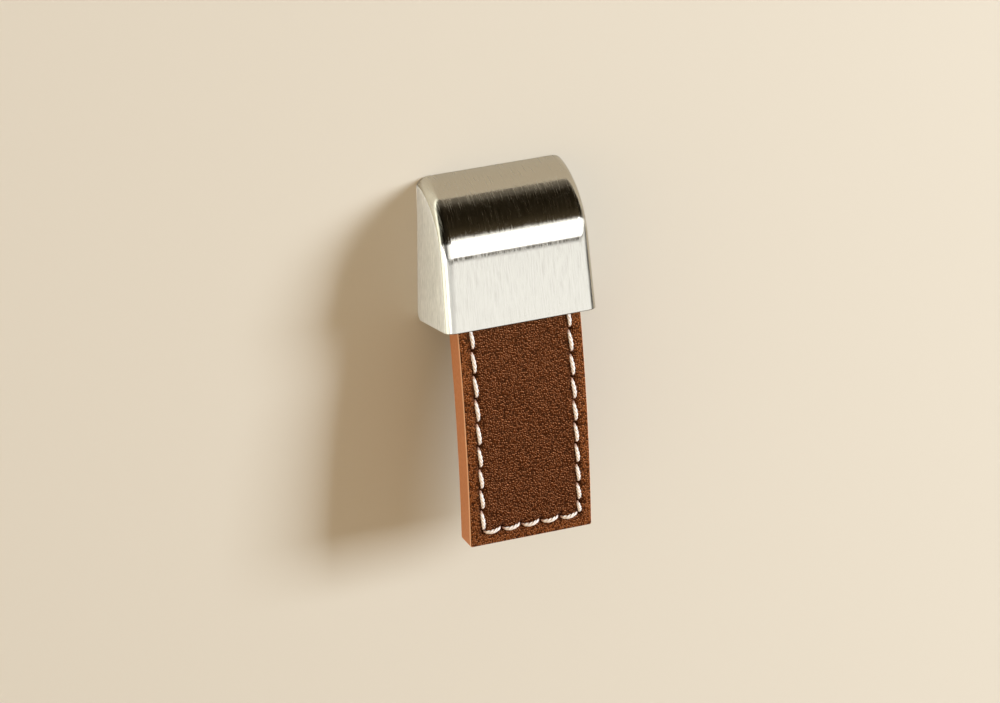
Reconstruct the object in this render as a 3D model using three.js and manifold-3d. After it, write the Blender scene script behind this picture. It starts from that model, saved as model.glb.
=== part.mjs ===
// Cabinet knob: a nickel-plated cast hood that holds a stitched leather tab.
// Millimetres. +X right, +Y into the door, +Z up. The origin is where the fixing screw's
// axis crosses the plane of the hood's back.
import * as THREE from "three";
import { mergeVertices } from "three/addons/utils/BufferGeometryUtils.js";
import Module from "manifold-3d";

const wasm = await Module();
wasm.setup();

const degree = Math.PI / 180;

// Leather tab
const tabWidth = 18.6;
const tabThickness = 3.8;
const tabFreeLength = 32.5;
const tabBendRadius = 190;
const tabEdgeRadius = 0.3;
const tabCornerRadius = 0.35;
const tabTopMargin = 1;

// Hood
const hoodHeight = 21.5;
const hoodDepth = 11.8;
const frontLean = 10.5 * degree;
const roofRadius = 10.9;
const sideDraft = 1.15 * degree;
const edgeRadius = 1.6;
const heelRadius = 1.2;
const hoodWall = 1;
const undersideWall = 1.2;
const slotSideWall = 1.8;
const slotSideGap = 0.3;
const slotBackGap = 0.4;

// Seam
const threadRadius = 0.32;
const threadRise = 0.1;
const shoulderRise = 0.05;
const strandPairRadius = 0.4;
const threadClearance = 0.12;
const threadMeetGap = 0.3;
const threadFaceGap = 0.23;
const seamSideInset = 1.95;
const seamBottomInset = 2.2;
const seamTopMargin = 1.6;
const bottomStitches = 5;
const stitchLowestLeft = 3.25;
const stitchNextLeft = 3.1;
const stitchLowestRight = 1.9;
const stitchNextRight = 2.8;
const stitchGrowth = 0.13;
const stitchLong = 3.55;
const stitchShoulder = 0.45;
const stitchKnee = 0.14;
const stitchKneeDepth = 0.3;
const stitchFoot = 0.04;
const stitchFootDepth = 0.75;

// Fixing screw and its boss
const screwDiameter = 4;
const screwClearance = 0.15;
const bossDiameter = 8;
const bossTabGap = 0.6;
const boreCover = 1.2;
const screwTipGap = 0.6;
const doorThickness = 18;
const screwHeadDiameter = 8.6;
const screwHeadHeight = 2.6;
const screwTipChamfer = 0.5;
const screwPitch = 0.7;
const screwThreadDepth = 0.42;
const screwNeck = 1.4;

// Clamp plate, its posts and its two small screws
const postDiameter = 4;
const postHoleGap = 0.3;
const postSeamWeb = 0.53;
const plateThickness = 1;
const plateGap = 0.3;
const plateEndInset = 0.4;
const plateSeamGap = 0.35;
const plateCornerRadius = 0.8;
const smallScrewDiameter = 2.5;
const smallScrewClearance = 0.15;
const smallScrewCover = 2;
const smallHeadDiameter = 4.6;
const smallHeadHeight = 1.6;
const smallHeadFloorGap = 0.7;

// Pan heads: the straight rim, the flat crown and the cross recess, as shares of the head
const headRim = 0.45;
const headCrown = 0.3;
const headBrow = 0.92;
const recessSpan = 0.56;
const recessBlade = 0.16;
const recessDepth = 0.62;

// How finely curved things are cut into facets
const roofSegments = 14;
const bevelSegments = 5;
const cornerSegments = 4;
const stripCornerSegments = 2;
const roundSides = 28;
const screwThreadSides = 10;
const threadSides = 6;
const stitchSteps = 8;
const channelSteps = 6;
const bendSteps = 10;

// Lengths by which a cutting solid stands proud of what it cuts
const overrun = 4;
const smallOverrun = 1;

// What follows from the sizes

// Depths behind the plane of the hood's front face
const tabFront = hoodWall + threadRise + threadRadius + threadFaceGap;
const tabBack = tabFront + tabThickness;
const plateFront = tabBack + plateGap;
const smallHeadFront = plateFront + plateThickness + plateGap;

// Heights along the front face, from the mouth
const postHeight = undersideWall + smallHeadFloorGap + smallHeadDiameter / 2;
const tabHeldLength = postHeight + postDiameter / 2 + tabTopMargin;
const plateBottom = undersideWall + plateEndInset;
const plateTop = tabHeldLength - plateEndInset;

// Widths
const hoodWidth = tabWidth + 2 * (slotSideGap + slotSideWall);
const seamReach = tabWidth / 2 - seamSideInset;
const plateWidth = 2 * (seamReach - strandPairRadius - plateSeamGap);
const needleHoleReach = seamReach - strandPairRadius - threadClearance;
const postReach = needleHoleReach - postSeamWeb - postHoleGap - postDiameter / 2;

// Heights above the hood's bottom edge at the door
const mouthRise = hoodDepth * Math.tan(frontLean);
const tabTopRise = mouthRise + tabHeldLength * Math.cos(frontLean) - tabFront * Math.sin(frontLean);
const screwHeight = tabTopRise + bossTabGap + bossDiameter / 2;

// The axis about which the roof curves, in depth from the door and height
const mouthLength = hoodDepth / Math.cos(frontLean);
const roofAxisHeight = hoodHeight - roofRadius;
const roofAxisDepth = (
  mouthLength - roofRadius - roofAxisHeight * Math.sin(frontLean)
) / Math.cos(frontLean);

// The fixing screw's bore ends under the roof's skin, above the screw's axis
const boreTopRise = screwHeight + screwDiameter / 2 - roofAxisHeight;
const bossBoreDepth = roofAxisDepth + Math.sqrt(roofRadius ** 2 - boreTopRise ** 2) - boreCover;
const screwEngagement = bossBoreDepth - screwTipGap;

// Solids

function toSolid(geometry) {
  const bare = geometry.clone();
  bare.deleteAttribute("normal");
  bare.deleteAttribute("uv");
  const merged = mergeVertices(bare);
  const vertProperties = new Float32Array(merged.attributes.position.array);
  const triVerts = new Uint32Array(merged.index.array);
  return new wasm.Manifold(new wasm.Mesh({ numProp: 3, vertProperties, triVerts }));
}

function toGeometry(solid) {
  const mesh = solid.getMesh();
  const geometry = new THREE.BufferGeometry();
  geometry.setAttribute("position", new THREE.BufferAttribute(mesh.vertProperties, 3));
  geometry.setIndex(new THREE.BufferAttribute(mesh.triVerts, 1));
  geometry.computeVertexNormals();
  return geometry;
}

function joinAll(solids) {
  return solids.reduce((sum, solid) => sum.add(solid));
}

function makeMesh(name, geometry, finish) {
  const mesh = new THREE.Mesh(geometry, new THREE.MeshStandardMaterial(finish));
  mesh.name = name;
  return mesh;
}

// Finishes

const nickel = { color: 0xd6d1c4, roughness: 0.36, metalness: 1 };
const steel = { color: 0xb9bcc0, roughness: 0.3, metalness: 1 };
const leather = { color: 0x5c3019, roughness: 0.62, metalness: 0 };
const thread = { color: 0xfff0e4, roughness: 0.7, metalness: 0 };

// Frames

// Side profiles are drawn with x out from the door and y up from the hood's bottom edge at
// the door. This matrix stands such a profile up in the model, extruded across X.
const profileToModel = new THREE.Matrix4()
  .makeTranslation(0, 0, -screwHeight)
  .multiply(new THREE.Matrix4().makeBasis(
    new THREE.Vector3(0, -1, 0),
    new THREE.Vector3(0, 0, 1),
    new THREE.Vector3(-1, 0, 0),
  ));

// The frame of the hood's front face: origin on its bottom edge, x across, y inwards from
// the face, z up along it. The mouth is the plane z = 0.
const frontToModel = new THREE.Matrix4()
  .makeTranslation(0, -hoodDepth, mouthRise - screwHeight)
  .multiply(new THREE.Matrix4().makeRotationX(-frontLean));

// Hood

// Roof and front as one outline, `inset` inside the outer skin. It runs on past the door,
// and its floor is parallel to the mouth, `floor` above it.
function roofProfile(inset, floor) {
  const back = Math.min(0, roofAxisDepth) - overrun;
  const footDepth = hoodDepth - inset * Math.cos(frontLean) - floor * Math.sin(frontLean);
  const floorRise = (depth) => depth * Math.tan(frontLean) + floor / Math.cos(frontLean);
  const shape = new THREE.Shape();
  shape.moveTo(back, floorRise(back));
  shape.lineTo(footDepth, floorRise(footDepth));
  shape.absarc(roofAxisDepth, roofAxisHeight, roofRadius - inset, frontLean, Math.PI / 2, false);
  shape.lineTo(back, hoodHeight - inset);
  shape.closePath();
  return shape;
}

// The outline of the hood's side: flat against the door, round at the heel, square mouth
function sideProfile() {
  const heelRise = heelRadius * (1 + Math.sin(frontLean)) / Math.cos(frontLean);
  const reach = hoodDepth + overrun;
  const shape = new THREE.Shape();
  shape.moveTo(0, hoodHeight + overrun);
  shape.lineTo(0, heelRise);
  shape.absarc(heelRadius, heelRise, heelRadius, Math.PI, Math.PI * 1.5 + frontLean, false);
  shape.lineTo(reach, reach * Math.tan(frontLean));
  shape.lineTo(reach, hoodHeight + overrun);
  shape.closePath();
  return shape;
}

// Stands a profile up across X, `width` wide, and draws its sides in towards the top
function standAcross(shape, width, rounding) {
  const geometry = new THREE.ExtrudeGeometry(shape, {
    depth: width - 2 * rounding,
    bevelEnabled: rounding > 0,
    bevelSize: rounding,
    bevelThickness: rounding,
    bevelOffset: -rounding,
    bevelSegments,
    curveSegments: roofSegments,
  });
  geometry.translate(0, 0, rounding - width / 2);
  geometry.applyMatrix4(profileToModel);
  const place = geometry.attributes.position;
  for (let i = 0; i < place.count; i += 1) {
    const x = place.getX(i);
    const rise = place.getZ(i) + screwHeight;
    place.setX(i, x - Math.sign(x) * rise * Math.tan(sideDraft));
  }
  return toSolid(geometry);
}

function hoodSkin() {
  const rounded = standAcross(roofProfile(0, -overrun), hoodWidth, edgeRadius);
  const bounds = new THREE.ExtrudeGeometry(sideProfile(), {
    depth: hoodWidth + 2 * overrun,
    bevelEnabled: false,
    curveSegments: cornerSegments,
  });
  bounds.translate(0, 0, -hoodWidth / 2 - overrun);
  bounds.applyMatrix4(profileToModel);
  return rounded.intersect(toSolid(bounds));
}

function hoodCavity() {
  return standAcross(roofProfile(hoodWall, undersideWall), hoodWidth - 2 * hoodWall, 0);
}

// The slot in the underside that the tab comes out of
function tabSlot() {
  const depth = tabBack + slotBackGap - hoodWall;
  const height = undersideWall + overrun + smallOverrun;
  const slot = new THREE.BoxGeometry(tabWidth + 2 * slotSideGap, depth, height);
  slot.translate(0, hoodWall + depth / 2, undersideWall + smallOverrun - height / 2);
  slot.applyMatrix4(frontToModel);
  return toSolid(slot);
}

// A round bar along Y, from y = from to y = to
function barAlongY(diameter, from, to) {
  const bar = new THREE.CylinderGeometry(diameter / 2, diameter / 2, to - from, roundSides);
  bar.translate(0, (from + to) / 2, 0);
  return bar;
}

const postSides = [-1, 1];

// A round bar on the axis of the left (-1) or right (1) post
function postBar(side, diameter, from, to) {
  const bar = barAlongY(diameter, from, to);
  bar.translate(side * postReach, 0, postHeight);
  bar.applyMatrix4(frontToModel);
  return toSolid(bar);
}

function buildHood() {
  const skin = hoodSkin();
  const shell = skin.subtract(hoodCavity()).subtract(tabSlot());
  const boss = toSolid(barAlongY(bossDiameter, -hoodDepth, 0)).intersect(skin);
  const posts = postSides.map((side) => postBar(side, postDiameter, hoodWall / 2, tabBack));
  const bore = toSolid(barAlongY(screwDiameter + 2 * screwClearance, -bossBoreDepth, overrun));
  const holeDiameter = smallScrewDiameter + 2 * smallScrewClearance;
  const holes = postSides.map((side) => (
    postBar(side, holeDiameter, smallScrewCover - smallScrewClearance, tabBack + smallOverrun)
  ));
  return joinAll([shell, boss, ...posts]).subtract(joinAll([bore, ...holes]));
}

// Leather tab

// Flat tab coordinates are x across, y in from the front face and z up from the mouth.
// Below the mouth the leather hangs in a gentle arc that turns back towards the door.
function hangTab(geometry) {
  const place = geometry.attributes.position;
  for (let i = 0; i < place.count; i += 1) {
    const depth = place.getY(i);
    const up = place.getZ(i);
    const turn = Math.max(0, -up) / tabBendRadius;
    const radius = tabBendRadius - depth;
    place.setY(i, tabFront + tabBendRadius - radius * Math.cos(turn));
    place.setZ(i, Math.max(0, up) - radius * Math.sin(turn));
  }
  geometry.applyMatrix4(frontToModel);
  return geometry;
}

// A rectangle with round corners about its centre
function roundedRectangle(width, height, radius) {
  const x = width / 2 - radius;
  const y = height / 2 - radius;
  const shape = new THREE.Shape();
  shape.moveTo(-x, -y - radius);
  shape.lineTo(x, -y - radius);
  shape.absarc(x, -y, radius, -Math.PI / 2, 0, false);
  shape.absarc(x, y, radius, 0, Math.PI / 2, false);
  shape.absarc(-x, y, radius, Math.PI / 2, Math.PI, false);
  shape.absarc(-x, -y, radius, Math.PI, Math.PI * 1.5, false);
  return shape;
}

function tabBlank() {
  const section = roundedRectangle(tabWidth, tabThickness, tabEdgeRadius);
  const strip = new THREE.ExtrudeGeometry(section, {
    depth: tabFreeLength + tabHeldLength,
    steps: bendSteps,
    bevelEnabled: false,
    curveSegments: stripCornerSegments,
  });
  strip.translate(0, tabThickness / 2, -tabFreeLength);
  return toSolid(hangTab(strip));
}

// What is cut away to round the tab's lower left (-1) or lower right (1) corner
function cornerCut(side) {
  const edge = tabWidth / 2;
  const centre = edge - tabCornerRadius;
  const shape = new THREE.Shape();
  shape.moveTo(edge, tabCornerRadius);
  shape.absarc(centre, tabCornerRadius, tabCornerRadius, 0, -Math.PI / 2, true);
  shape.lineTo(centre, -smallOverrun);
  shape.lineTo(edge + smallOverrun, -smallOverrun);
  shape.lineTo(edge + smallOverrun, tabCornerRadius);
  shape.closePath();
  const wedge = new THREE.ExtrudeGeometry(shape, {
    depth: tabThickness + 2 * smallOverrun,
    bevelEnabled: false,
    curveSegments: cornerSegments,
  });
  wedge.rotateX(Math.PI / 2);
  wedge.translate(0, tabThickness / 2 + smallOverrun, 0);
  wedge.rotateZ(side > 0 ? 0 : Math.PI);
  wedge.translate(0, tabThickness / 2, -tabFreeLength);
  return toSolid(hangTab(wedge));
}

// Seam

// Places of the needle holes up one edge, from above the corner hole to near the tab's top
function holesUp(side, lowestStep, nextStep) {
  const top = tabHeldLength - seamTopMargin;
  const holes = [];
  let up = seamBottomInset - tabFreeLength + lowestStep;
  let step = nextStep;
  while (up < top) {
    holes.push(new THREE.Vector2(side * seamReach, up));
    up += step;
    step = Math.min(step + stitchGrowth, stitchLong);
  }
  return holes;
}

// All needle holes in sewing order: down the left edge, along the bottom, up the right
function seamHoles() {
  const bottom = [];
  for (let i = 0; i <= bottomStitches; i += 1) {
    const x = seamReach * ((2 * i) / bottomStitches - 1);
    bottom.push(new THREE.Vector2(x, seamBottomInset - tabFreeLength));
  }
  const left = holesUp(-1, stitchLowestLeft, stitchNextLeft).reverse();
  return [...left, ...bottom, ...holesUp(1, stitchLowestRight, stitchNextRight)];
}

const needleHoles = seamHoles();

// One stitch between two needle holes, a tube that arches over the leather and dips into
// both holes. Face 1 is the tab's front, -1 its back.
function stitchTube(from, to, radius, face, steps) {
  const run = to.clone().sub(from);
  const length = run.length();
  const at = (along, depth) => {
    const spot = from.clone().addScaledVector(run, along / length);
    return new THREE.Vector3(spot.x, face > 0 ? depth : tabThickness - depth, spot.y);
  };
  const path = new THREE.CatmullRomCurve3([
    at(stitchFoot, stitchFootDepth),
    at(stitchKnee, stitchKneeDepth),
    at(stitchShoulder, -shoulderRise),
    at(length / 2, -threadRise),
    at(length - stitchShoulder, -shoulderRise),
    at(length - stitchKnee, stitchKneeDepth),
    at(length - stitchFoot, stitchFootDepth),
  ]);
  const section = new THREE.Shape();
  section.absarc(0, 0, radius, 0, Math.PI * 2, false);
  const tube = new THREE.ExtrudeGeometry(section, {
    steps,
    extrudePath: path,
    curveSegments: threadSides / 2,
  });
  return toSolid(hangTab(tube));
}

// All stitches of the seam on one face, as tubes of the given radius
function stitches(radius, face, steps) {
  const ends = needleHoles.slice(1);
  return ends.map((to, i) => stitchTube(needleHoles[i], to, radius, face, steps));
}

// A round bar in a needle hole, along the tab's thickness
function holeBar(hole, radius, from, to) {
  const bar = new THREE.CylinderGeometry(radius, radius, to - from, threadSides);
  bar.translate(hole.x, (from + to) / 2, hole.y);
  return toSolid(hangTab(bar));
}

// One sewing thread: its stitches on one face, and the pairs of strands in the needle holes
function buildThread(face) {
  const near = stitchKneeDepth;
  const far = (tabThickness - threadMeetGap) / 2;
  const span = face > 0 ? [near, far] : [tabThickness - far, tabThickness - near];
  const strands = needleHoles.map((hole) => holeBar(hole, strandPairRadius, ...span));
  return joinAll([...stitches(threadRadius, face, stitchSteps), ...strands]);
}

function buildTab() {
  const channelRadius = threadRadius + threadClearance;
  const holeRadius = strandPairRadius + threadClearance;
  const channels = [1, -1].flatMap((face) => stitches(channelRadius, face, channelSteps));
  const holes = needleHoles.map((hole) => (
    holeBar(hole, holeRadius, -smallOverrun, tabThickness + smallOverrun)
  ));
  const postHoles = postSides.map((side) => (
    postBar(side, postDiameter + 2 * postHoleGap, tabFront - smallOverrun, tabBack + smallOverrun)
  ));
  const cuts = joinAll([...channels, ...holes, ...postHoles, cornerCut(1), cornerCut(-1)]);
  return tabBlank().subtract(cuts);
}

// Clamp plate and screws

function buildPlate() {
  const middle = (plateBottom + plateTop) / 2;
  const outline = roundedRectangle(plateWidth, plateTop - plateBottom, plateCornerRadius);
  for (const side of postSides) {
    const hole = new THREE.Path();
    const radius = smallScrewDiameter / 2 + smallScrewClearance;
    hole.absarc(side * postReach, postHeight - middle, radius, 0, Math.PI * 2, true);
    outline.holes.push(hole);
  }
  const plate = new THREE.ExtrudeGeometry(outline, {
    depth: plateThickness,
    bevelEnabled: false,
    curveSegments: cornerSegments * 2,
  });
  plate.rotateX(Math.PI / 2);
  plate.translate(0, plateFront + plateThickness, middle);
  plate.applyMatrix4(frontToModel);
  return plate;
}

// A pan-head machine screw along Y: its plain shank begins at y = from and its head at
// y = length
function screwSolid(diameter, from, length, headDiameter, headHeight) {
  const head = headDiameter / 2;
  const top = length + headHeight;
  const profile = new THREE.Path();
  profile.moveTo(0, from);
  profile.lineTo(diameter / 2 - screwTipChamfer, from);
  profile.lineTo(diameter / 2, from + screwTipChamfer);
  profile.lineTo(diameter / 2, length);
  profile.lineTo(head, length);
  profile.lineTo(head, length + headHeight * headRim);
  profile.quadraticCurveTo(head * headBrow, top, head * headCrown, top);
  profile.lineTo(0, top);
  const body = toSolid(new THREE.LatheGeometry(profile.getPoints(cornerSegments), roundSides));
  const blades = [[recessSpan, recessBlade], [recessBlade, recessSpan]].map(([across, up]) => {
    const depth = 2 * headHeight * recessDepth;
    const blade = new THREE.BoxGeometry(headDiameter * across, depth, headDiameter * up);
    blade.translate(0, top, 0);
    return toSolid(blade);
  });
  return body.subtract(joinAll(blades));
}

// A bar along Y with a sharp thread cut around it, from below y = 0 to above y = length. The
// crest and the root are two helices, half a pitch apart, of `screwThreadSides` a turn.
function threadedBar(diameter, length) {
  const crest = diameter / 2;
  const root = crest - screwThreadDepth;
  const turn = screwThreadSides;
  const count = turn * Math.ceil(length / screwPitch + 2);
  const place = [];
  for (let j = 0; j <= count; j += 1) {
    const angle = (2 * Math.PI * (j % turn)) / turn;
    const rise = (screwPitch * (j - turn)) / turn;
    place.push(crest * Math.cos(angle), rise, -crest * Math.sin(angle));
    place.push(root * Math.cos(angle), rise + screwPitch / 2, -root * Math.sin(angle));
  }
  const low = place.length / 3;
  const high = low + 1;
  place.push(0, -2 * screwPitch, 0, 0, screwPitch * count / turn, 0);
  const faces = [];
  const quad = (a, b, c, d) => faces.push(a, b, c, a, c, d);
  for (let j = 0; j < count; j += 1) {
    quad(2 * j, 2 * j + 2, 2 * j + 3, 2 * j + 1);
    if (j + turn < count) {
      quad(2 * j + 1, 2 * j + 3, 2 * (j + turn) + 2, 2 * (j + turn));
    }
  }
  for (let j = 0; j < turn; j += 1) {
    const last = count - turn + j;
    faces.push(low, 2 * j + 2, 2 * j);
    faces.push(high, 2 * last + 1, 2 * last + 3);
  }
  faces.push(low, 0, 1, low, 1, 2 * turn);
  faces.push(high, 2 * count + 1, 2 * count, high, 2 * count, 2 * (count - turn) + 1);
  const vertProperties = new Float32Array(place);
  return new wasm.Manifold(new wasm.Mesh({
    numProp: 3,
    vertProperties,
    triVerts: new Uint32Array(faces),
  }));
}

// The threaded part of a screw: its tip chamfered at y = 0, its other end at y = length
function threadedShank(diameter, length) {
  const reach = diameter / 2 + smallOverrun;
  const outline = [
    new THREE.Vector2(0, 0),
    new THREE.Vector2(diameter / 2 - screwTipChamfer, 0),
    new THREE.Vector2(reach, smallOverrun + screwTipChamfer),
    new THREE.Vector2(reach, length),
    new THREE.Vector2(0, length),
  ];
  const bounds = toSolid(new THREE.LatheGeometry(outline, screwThreadSides));
  return threadedBar(diameter, length).intersect(bounds);
}

function buildFixingScrew() {
  const length = screwEngagement + doorThickness;
  const neck = length - screwNeck;
  const head = screwSolid(screwDiameter, neck, length, screwHeadDiameter, screwHeadHeight);
  const shank = threadedShank(screwDiameter, neck + screwTipChamfer / 2);
  const geometry = toGeometry(head.add(shank));
  geometry.translate(0, -screwEngagement, 0);
  return geometry;
}

function buildClampScrew(side) {
  const length = smallHeadFront - smallScrewCover;
  const solid = screwSolid(smallScrewDiameter, 0, length, smallHeadDiameter, smallHeadHeight);
  const geometry = toGeometry(solid);
  geometry.translate(side * postReach, smallScrewCover, postHeight);
  geometry.applyMatrix4(frontToModel);
  return geometry;
}

// The knob

const knob = new THREE.Group();
knob.name = "cabinet_knob";
knob.add(makeMesh("hood", toGeometry(buildHood()), nickel));
knob.add(makeMesh("leather_tab", toGeometry(buildTab()), leather));
knob.add(makeMesh("front_thread", toGeometry(buildThread(1)), thread));
knob.add(makeMesh("back_thread", toGeometry(buildThread(-1)), thread));
knob.add(makeMesh("clamp_plate", buildPlate(), steel));
knob.add(makeMesh("clamp_screw_left", buildClampScrew(-1), steel));
knob.add(makeMesh("clamp_screw_right", buildClampScrew(1), steel));
knob.add(makeMesh("fixing_screw", buildFixingScrew(), steel));

export default knob;
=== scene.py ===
"""Cabinet knob: a brushed nickel hood that holds a stitched leather tab.

Lengths in the classes are in millimetres unless they say otherwise, and every object is in
metres. +X is right, +Y goes into the door and +Z is up. The origin is where the fixing
screw's axis crosses the plane of the hood's back.
"""

import logging
import math
from contextlib import contextmanager
from dataclasses import dataclass, field
from enum import Enum
from typing import Any, Callable, Iterator

import bmesh
import bpy
import numpy as np
from mathutils import Matrix, Vector


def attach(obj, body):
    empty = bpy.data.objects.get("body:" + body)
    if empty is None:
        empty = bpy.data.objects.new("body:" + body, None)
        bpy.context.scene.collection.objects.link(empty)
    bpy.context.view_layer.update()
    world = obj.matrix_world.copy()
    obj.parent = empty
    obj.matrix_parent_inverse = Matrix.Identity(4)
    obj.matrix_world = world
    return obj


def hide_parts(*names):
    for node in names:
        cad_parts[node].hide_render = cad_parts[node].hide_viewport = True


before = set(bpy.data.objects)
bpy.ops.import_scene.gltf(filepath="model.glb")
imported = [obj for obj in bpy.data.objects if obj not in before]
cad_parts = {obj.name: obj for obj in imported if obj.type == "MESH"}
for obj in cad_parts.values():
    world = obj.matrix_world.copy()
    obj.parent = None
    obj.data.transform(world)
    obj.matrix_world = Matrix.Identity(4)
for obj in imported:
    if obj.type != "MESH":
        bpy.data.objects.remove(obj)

log = logging.getLogger("knob")
MM = 0.001
BODY = "root"
Point = tuple[float, float, float]
Span = tuple[float, float]
Piece = bpy.types.Object


# Working by hand


class Pick(Enum):
    """What an edit-mode selection is made of."""

    VERTS = "VERT"
    EDGES = "EDGE"
    FACES = "FACE"


def deselect() -> None:
    """Deselects every object."""
    bpy.ops.object.select_all(action="DESELECT")


def activate(piece: Piece) -> None:
    """Makes a piece the only selected and the active object.

    Args:
        piece: The object to work on.
    """
    deselect()
    piece.select_set(True)
    bpy.context.view_layer.objects.active = piece


@contextmanager
def editing(piece: Piece, kind: Pick = Pick.FACES) -> Iterator[None]:
    """Opens edit mode on a piece, with everything deselected.

    Args:
        piece: The mesh object to edit.
        kind: What is selected in this edit.

    Yields:
        Nothing; edit mode is left at the end.
    """
    activate(piece)
    bpy.ops.object.mode_set(mode="EDIT")
    bpy.ops.mesh.select_mode(type=kind.value)
    bpy.ops.mesh.select_all(action="DESELECT")
    try:
        yield
    finally:
        bpy.ops.object.mode_set(mode="OBJECT")


def pick(test: Callable[[Any], bool], kind: Pick = Pick.FACES) -> None:
    """Selects only what passes a test in the mesh that is being edited.

    Args:
        test: Takes a vertex, edge or face, and says whether it is wanted.
        kind: Which of the three is tested.
    """
    mesh = bpy.context.edit_object.data
    work = bmesh.from_edit_mesh(mesh)
    work.normal_update()
    for item in [*work.verts, *work.edges, *work.faces]:
        item.select = False
    pool = {Pick.VERTS: work.verts, Pick.EDGES: work.edges, Pick.FACES: work.faces}[kind]
    for item in [item for item in pool if test(item)]:
        item.select_set(True)
    work.select_flush_mode()
    bmesh.update_edit_mesh(mesh)


def pick_all() -> None:
    """Selects the whole mesh that is being edited."""
    bpy.ops.mesh.select_all(action="SELECT")


def bevel(width: float, segments: int, kind: Pick = Pick.EDGES) -> None:
    """Bevels the selected edges or corners.

    Args:
        width: How wide the bevel is, in millimetres.
        segments: How many faces it has.
        kind: Whether edges or single corners are bevelled.
    """
    affect = {Pick.EDGES: "EDGES", Pick.VERTS: "VERTICES"}[kind]
    bpy.ops.mesh.bevel(
        offset=width * MM, segments=segments, profile=0.5, affect=affect, clamp_overlap=False
    )


def extrude(across: float, inwards: float, up: float) -> None:
    """Extrudes what is selected by a step in metres."""
    bpy.ops.mesh.extrude_region_move(TRANSFORM_OT_translate={"value": (across, inwards, up)})


def cut_off(spot: Any, outwards: Any) -> None:
    """Cuts off what lies outside a plane, and closes the cut.

    Args:
        spot: A place on the plane, in metres.
        outwards: The direction in which everything goes.
    """
    pick_all()
    bpy.ops.mesh.bisect(plane_co=spot, plane_no=outwards, use_fill=True, clear_outer=True)


def turn_outwards() -> None:
    """Turns all the faces of the mesh that is being edited outwards."""
    pick_all()
    bpy.ops.mesh.normals_make_consistent(inside=False)


def added(name: str) -> Piece:
    """Names the primitive that was just added and returns it with its place in its mesh.

    Args:
        name: The piece's name.

    Returns:
        The object, at the origin, unturned and unscaled.
    """
    piece = bpy.context.active_object
    piece.name = name
    piece.data.name = name
    settle(piece)
    return piece


def settle(piece: Piece) -> None:
    """Puts a piece's place, turn and scale into its mesh."""
    activate(piece)
    bpy.ops.object.transform_apply(location=True, rotation=True, scale=True)


def block(name: str, low: Point, high: Point) -> Piece:
    """Adds a box between two corners.

    Args:
        name: The piece's name.
        low: The lowest corner, in millimetres.
        high: The highest corner, in millimetres.

    Returns:
        The box.
    """
    deselect()
    centre = [(a + b) / 2 * MM for a, b in zip(low, high)]
    size = [(b - a) * MM for a, b in zip(low, high)]
    bpy.ops.mesh.primitive_cube_add(size=1, location=centre, scale=size)
    return added(name)


def bar(name: str, radius: float, start: float, end: float, sides: int = 48) -> Piece:
    """Adds a round bar along Y about the origin.

    Args:
        name: The piece's name.
        radius: Its radius, in millimetres.
        start: Where it starts along Y.
        end: Where it ends along Y.
        sides: How many sides it has.

    Returns:
        The bar.
    """
    deselect()
    bpy.ops.mesh.primitive_cylinder_add(
        vertices=sides,
        radius=radius * MM,
        depth=(end - start) * MM,
        location=(0, (start + end) / 2 * MM, 0),
        rotation=(math.pi / 2, 0, 0),
    )
    return added(name)


def modify(piece: Piece, kind: str, **settings: Any) -> None:
    """Adds a modifier and applies it.

    Args:
        piece: The object that is modified.
        kind: The modifier's type.
        **settings: Its settings.
    """
    activate(piece)
    bpy.ops.object.modifier_add(type=kind)
    modifier = piece.modifiers[-1]
    for key, value in settings.items():
        setattr(modifier, key, value)
    bpy.ops.object.modifier_apply(modifier=modifier.name)


def carve(piece: Piece, tool: Piece) -> None:
    """Cuts a piece with a tool, and throws the tool away.

    Args:
        piece: The object that stays.
        tool: The object that is used up.
    """
    modify(
        piece, "BOOLEAN", operation="DIFFERENCE", object=tool, solver="EXACT",
        material_mode="TRANSFER",
    )
    bpy.data.objects.remove(tool)


def joined(first: Piece, *others: Piece) -> Piece:
    """Joins objects into the first one and returns it.

    Args:
        first: The object that stays.
        *others: The objects that go into it.

    Returns:
        The first object.
    """
    activate(first)
    for other in others:
        other.select_set(True)
    bpy.ops.object.join()
    return first


def place(piece: Piece, matrix: Matrix) -> None:
    """Moves a piece's mesh by a matrix whose lengths are in metres."""
    piece.data.transform(matrix)
    piece.data.update()


def smooth(piece: Piece, angle: float = 35, weigh: bool = True) -> None:
    """Shades a piece smooth but for its sharp edges, and keeps its flat faces flat.

    Args:
        piece: The object that is shaded.
        angle: Edges sharper than this, in degrees, stay sharp.
        weigh: Whether large faces set the normals.
    """
    activate(piece)
    bpy.ops.object.shade_smooth_by_angle(angle=math.radians(angle))
    if weigh:
        modify(piece, "WEIGHTED_NORMAL", keep_sharp=True, weight=90)


def points_of(piece: Piece) -> np.ndarray:
    """Reads a mesh's points.

    Args:
        piece: The object whose mesh is read.

    Returns:
        The points in millimetres, one row each.
    """
    flat = np.empty(len(piece.data.vertices) * 3, np.float32)
    piece.data.vertices.foreach_get("co", flat)
    return flat.reshape(-1, 3).astype(float) / MM


def move_points(piece: Piece, points: np.ndarray) -> None:
    """Gives a mesh's points new places.

    Args:
        piece: The object whose mesh changes.
        points: The new places in millimetres, one row each.
    """
    piece.data.vertices.foreach_set("co", (points * MM).astype(np.float32).ravel())
    piece.data.update()


def write_uv(piece: Piece, name: str, corners: np.ndarray) -> None:
    """Writes a UV map.

    Args:
        piece: The object that gets the map.
        name: The map's name.
        corners: One (u, v) row for each corner of each face.
    """
    layer = piece.data.uv_layers.get(name) or piece.data.uv_layers.new(name=name)
    layer.data.foreach_set("uv", corners.astype(np.float32).ravel())


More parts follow.
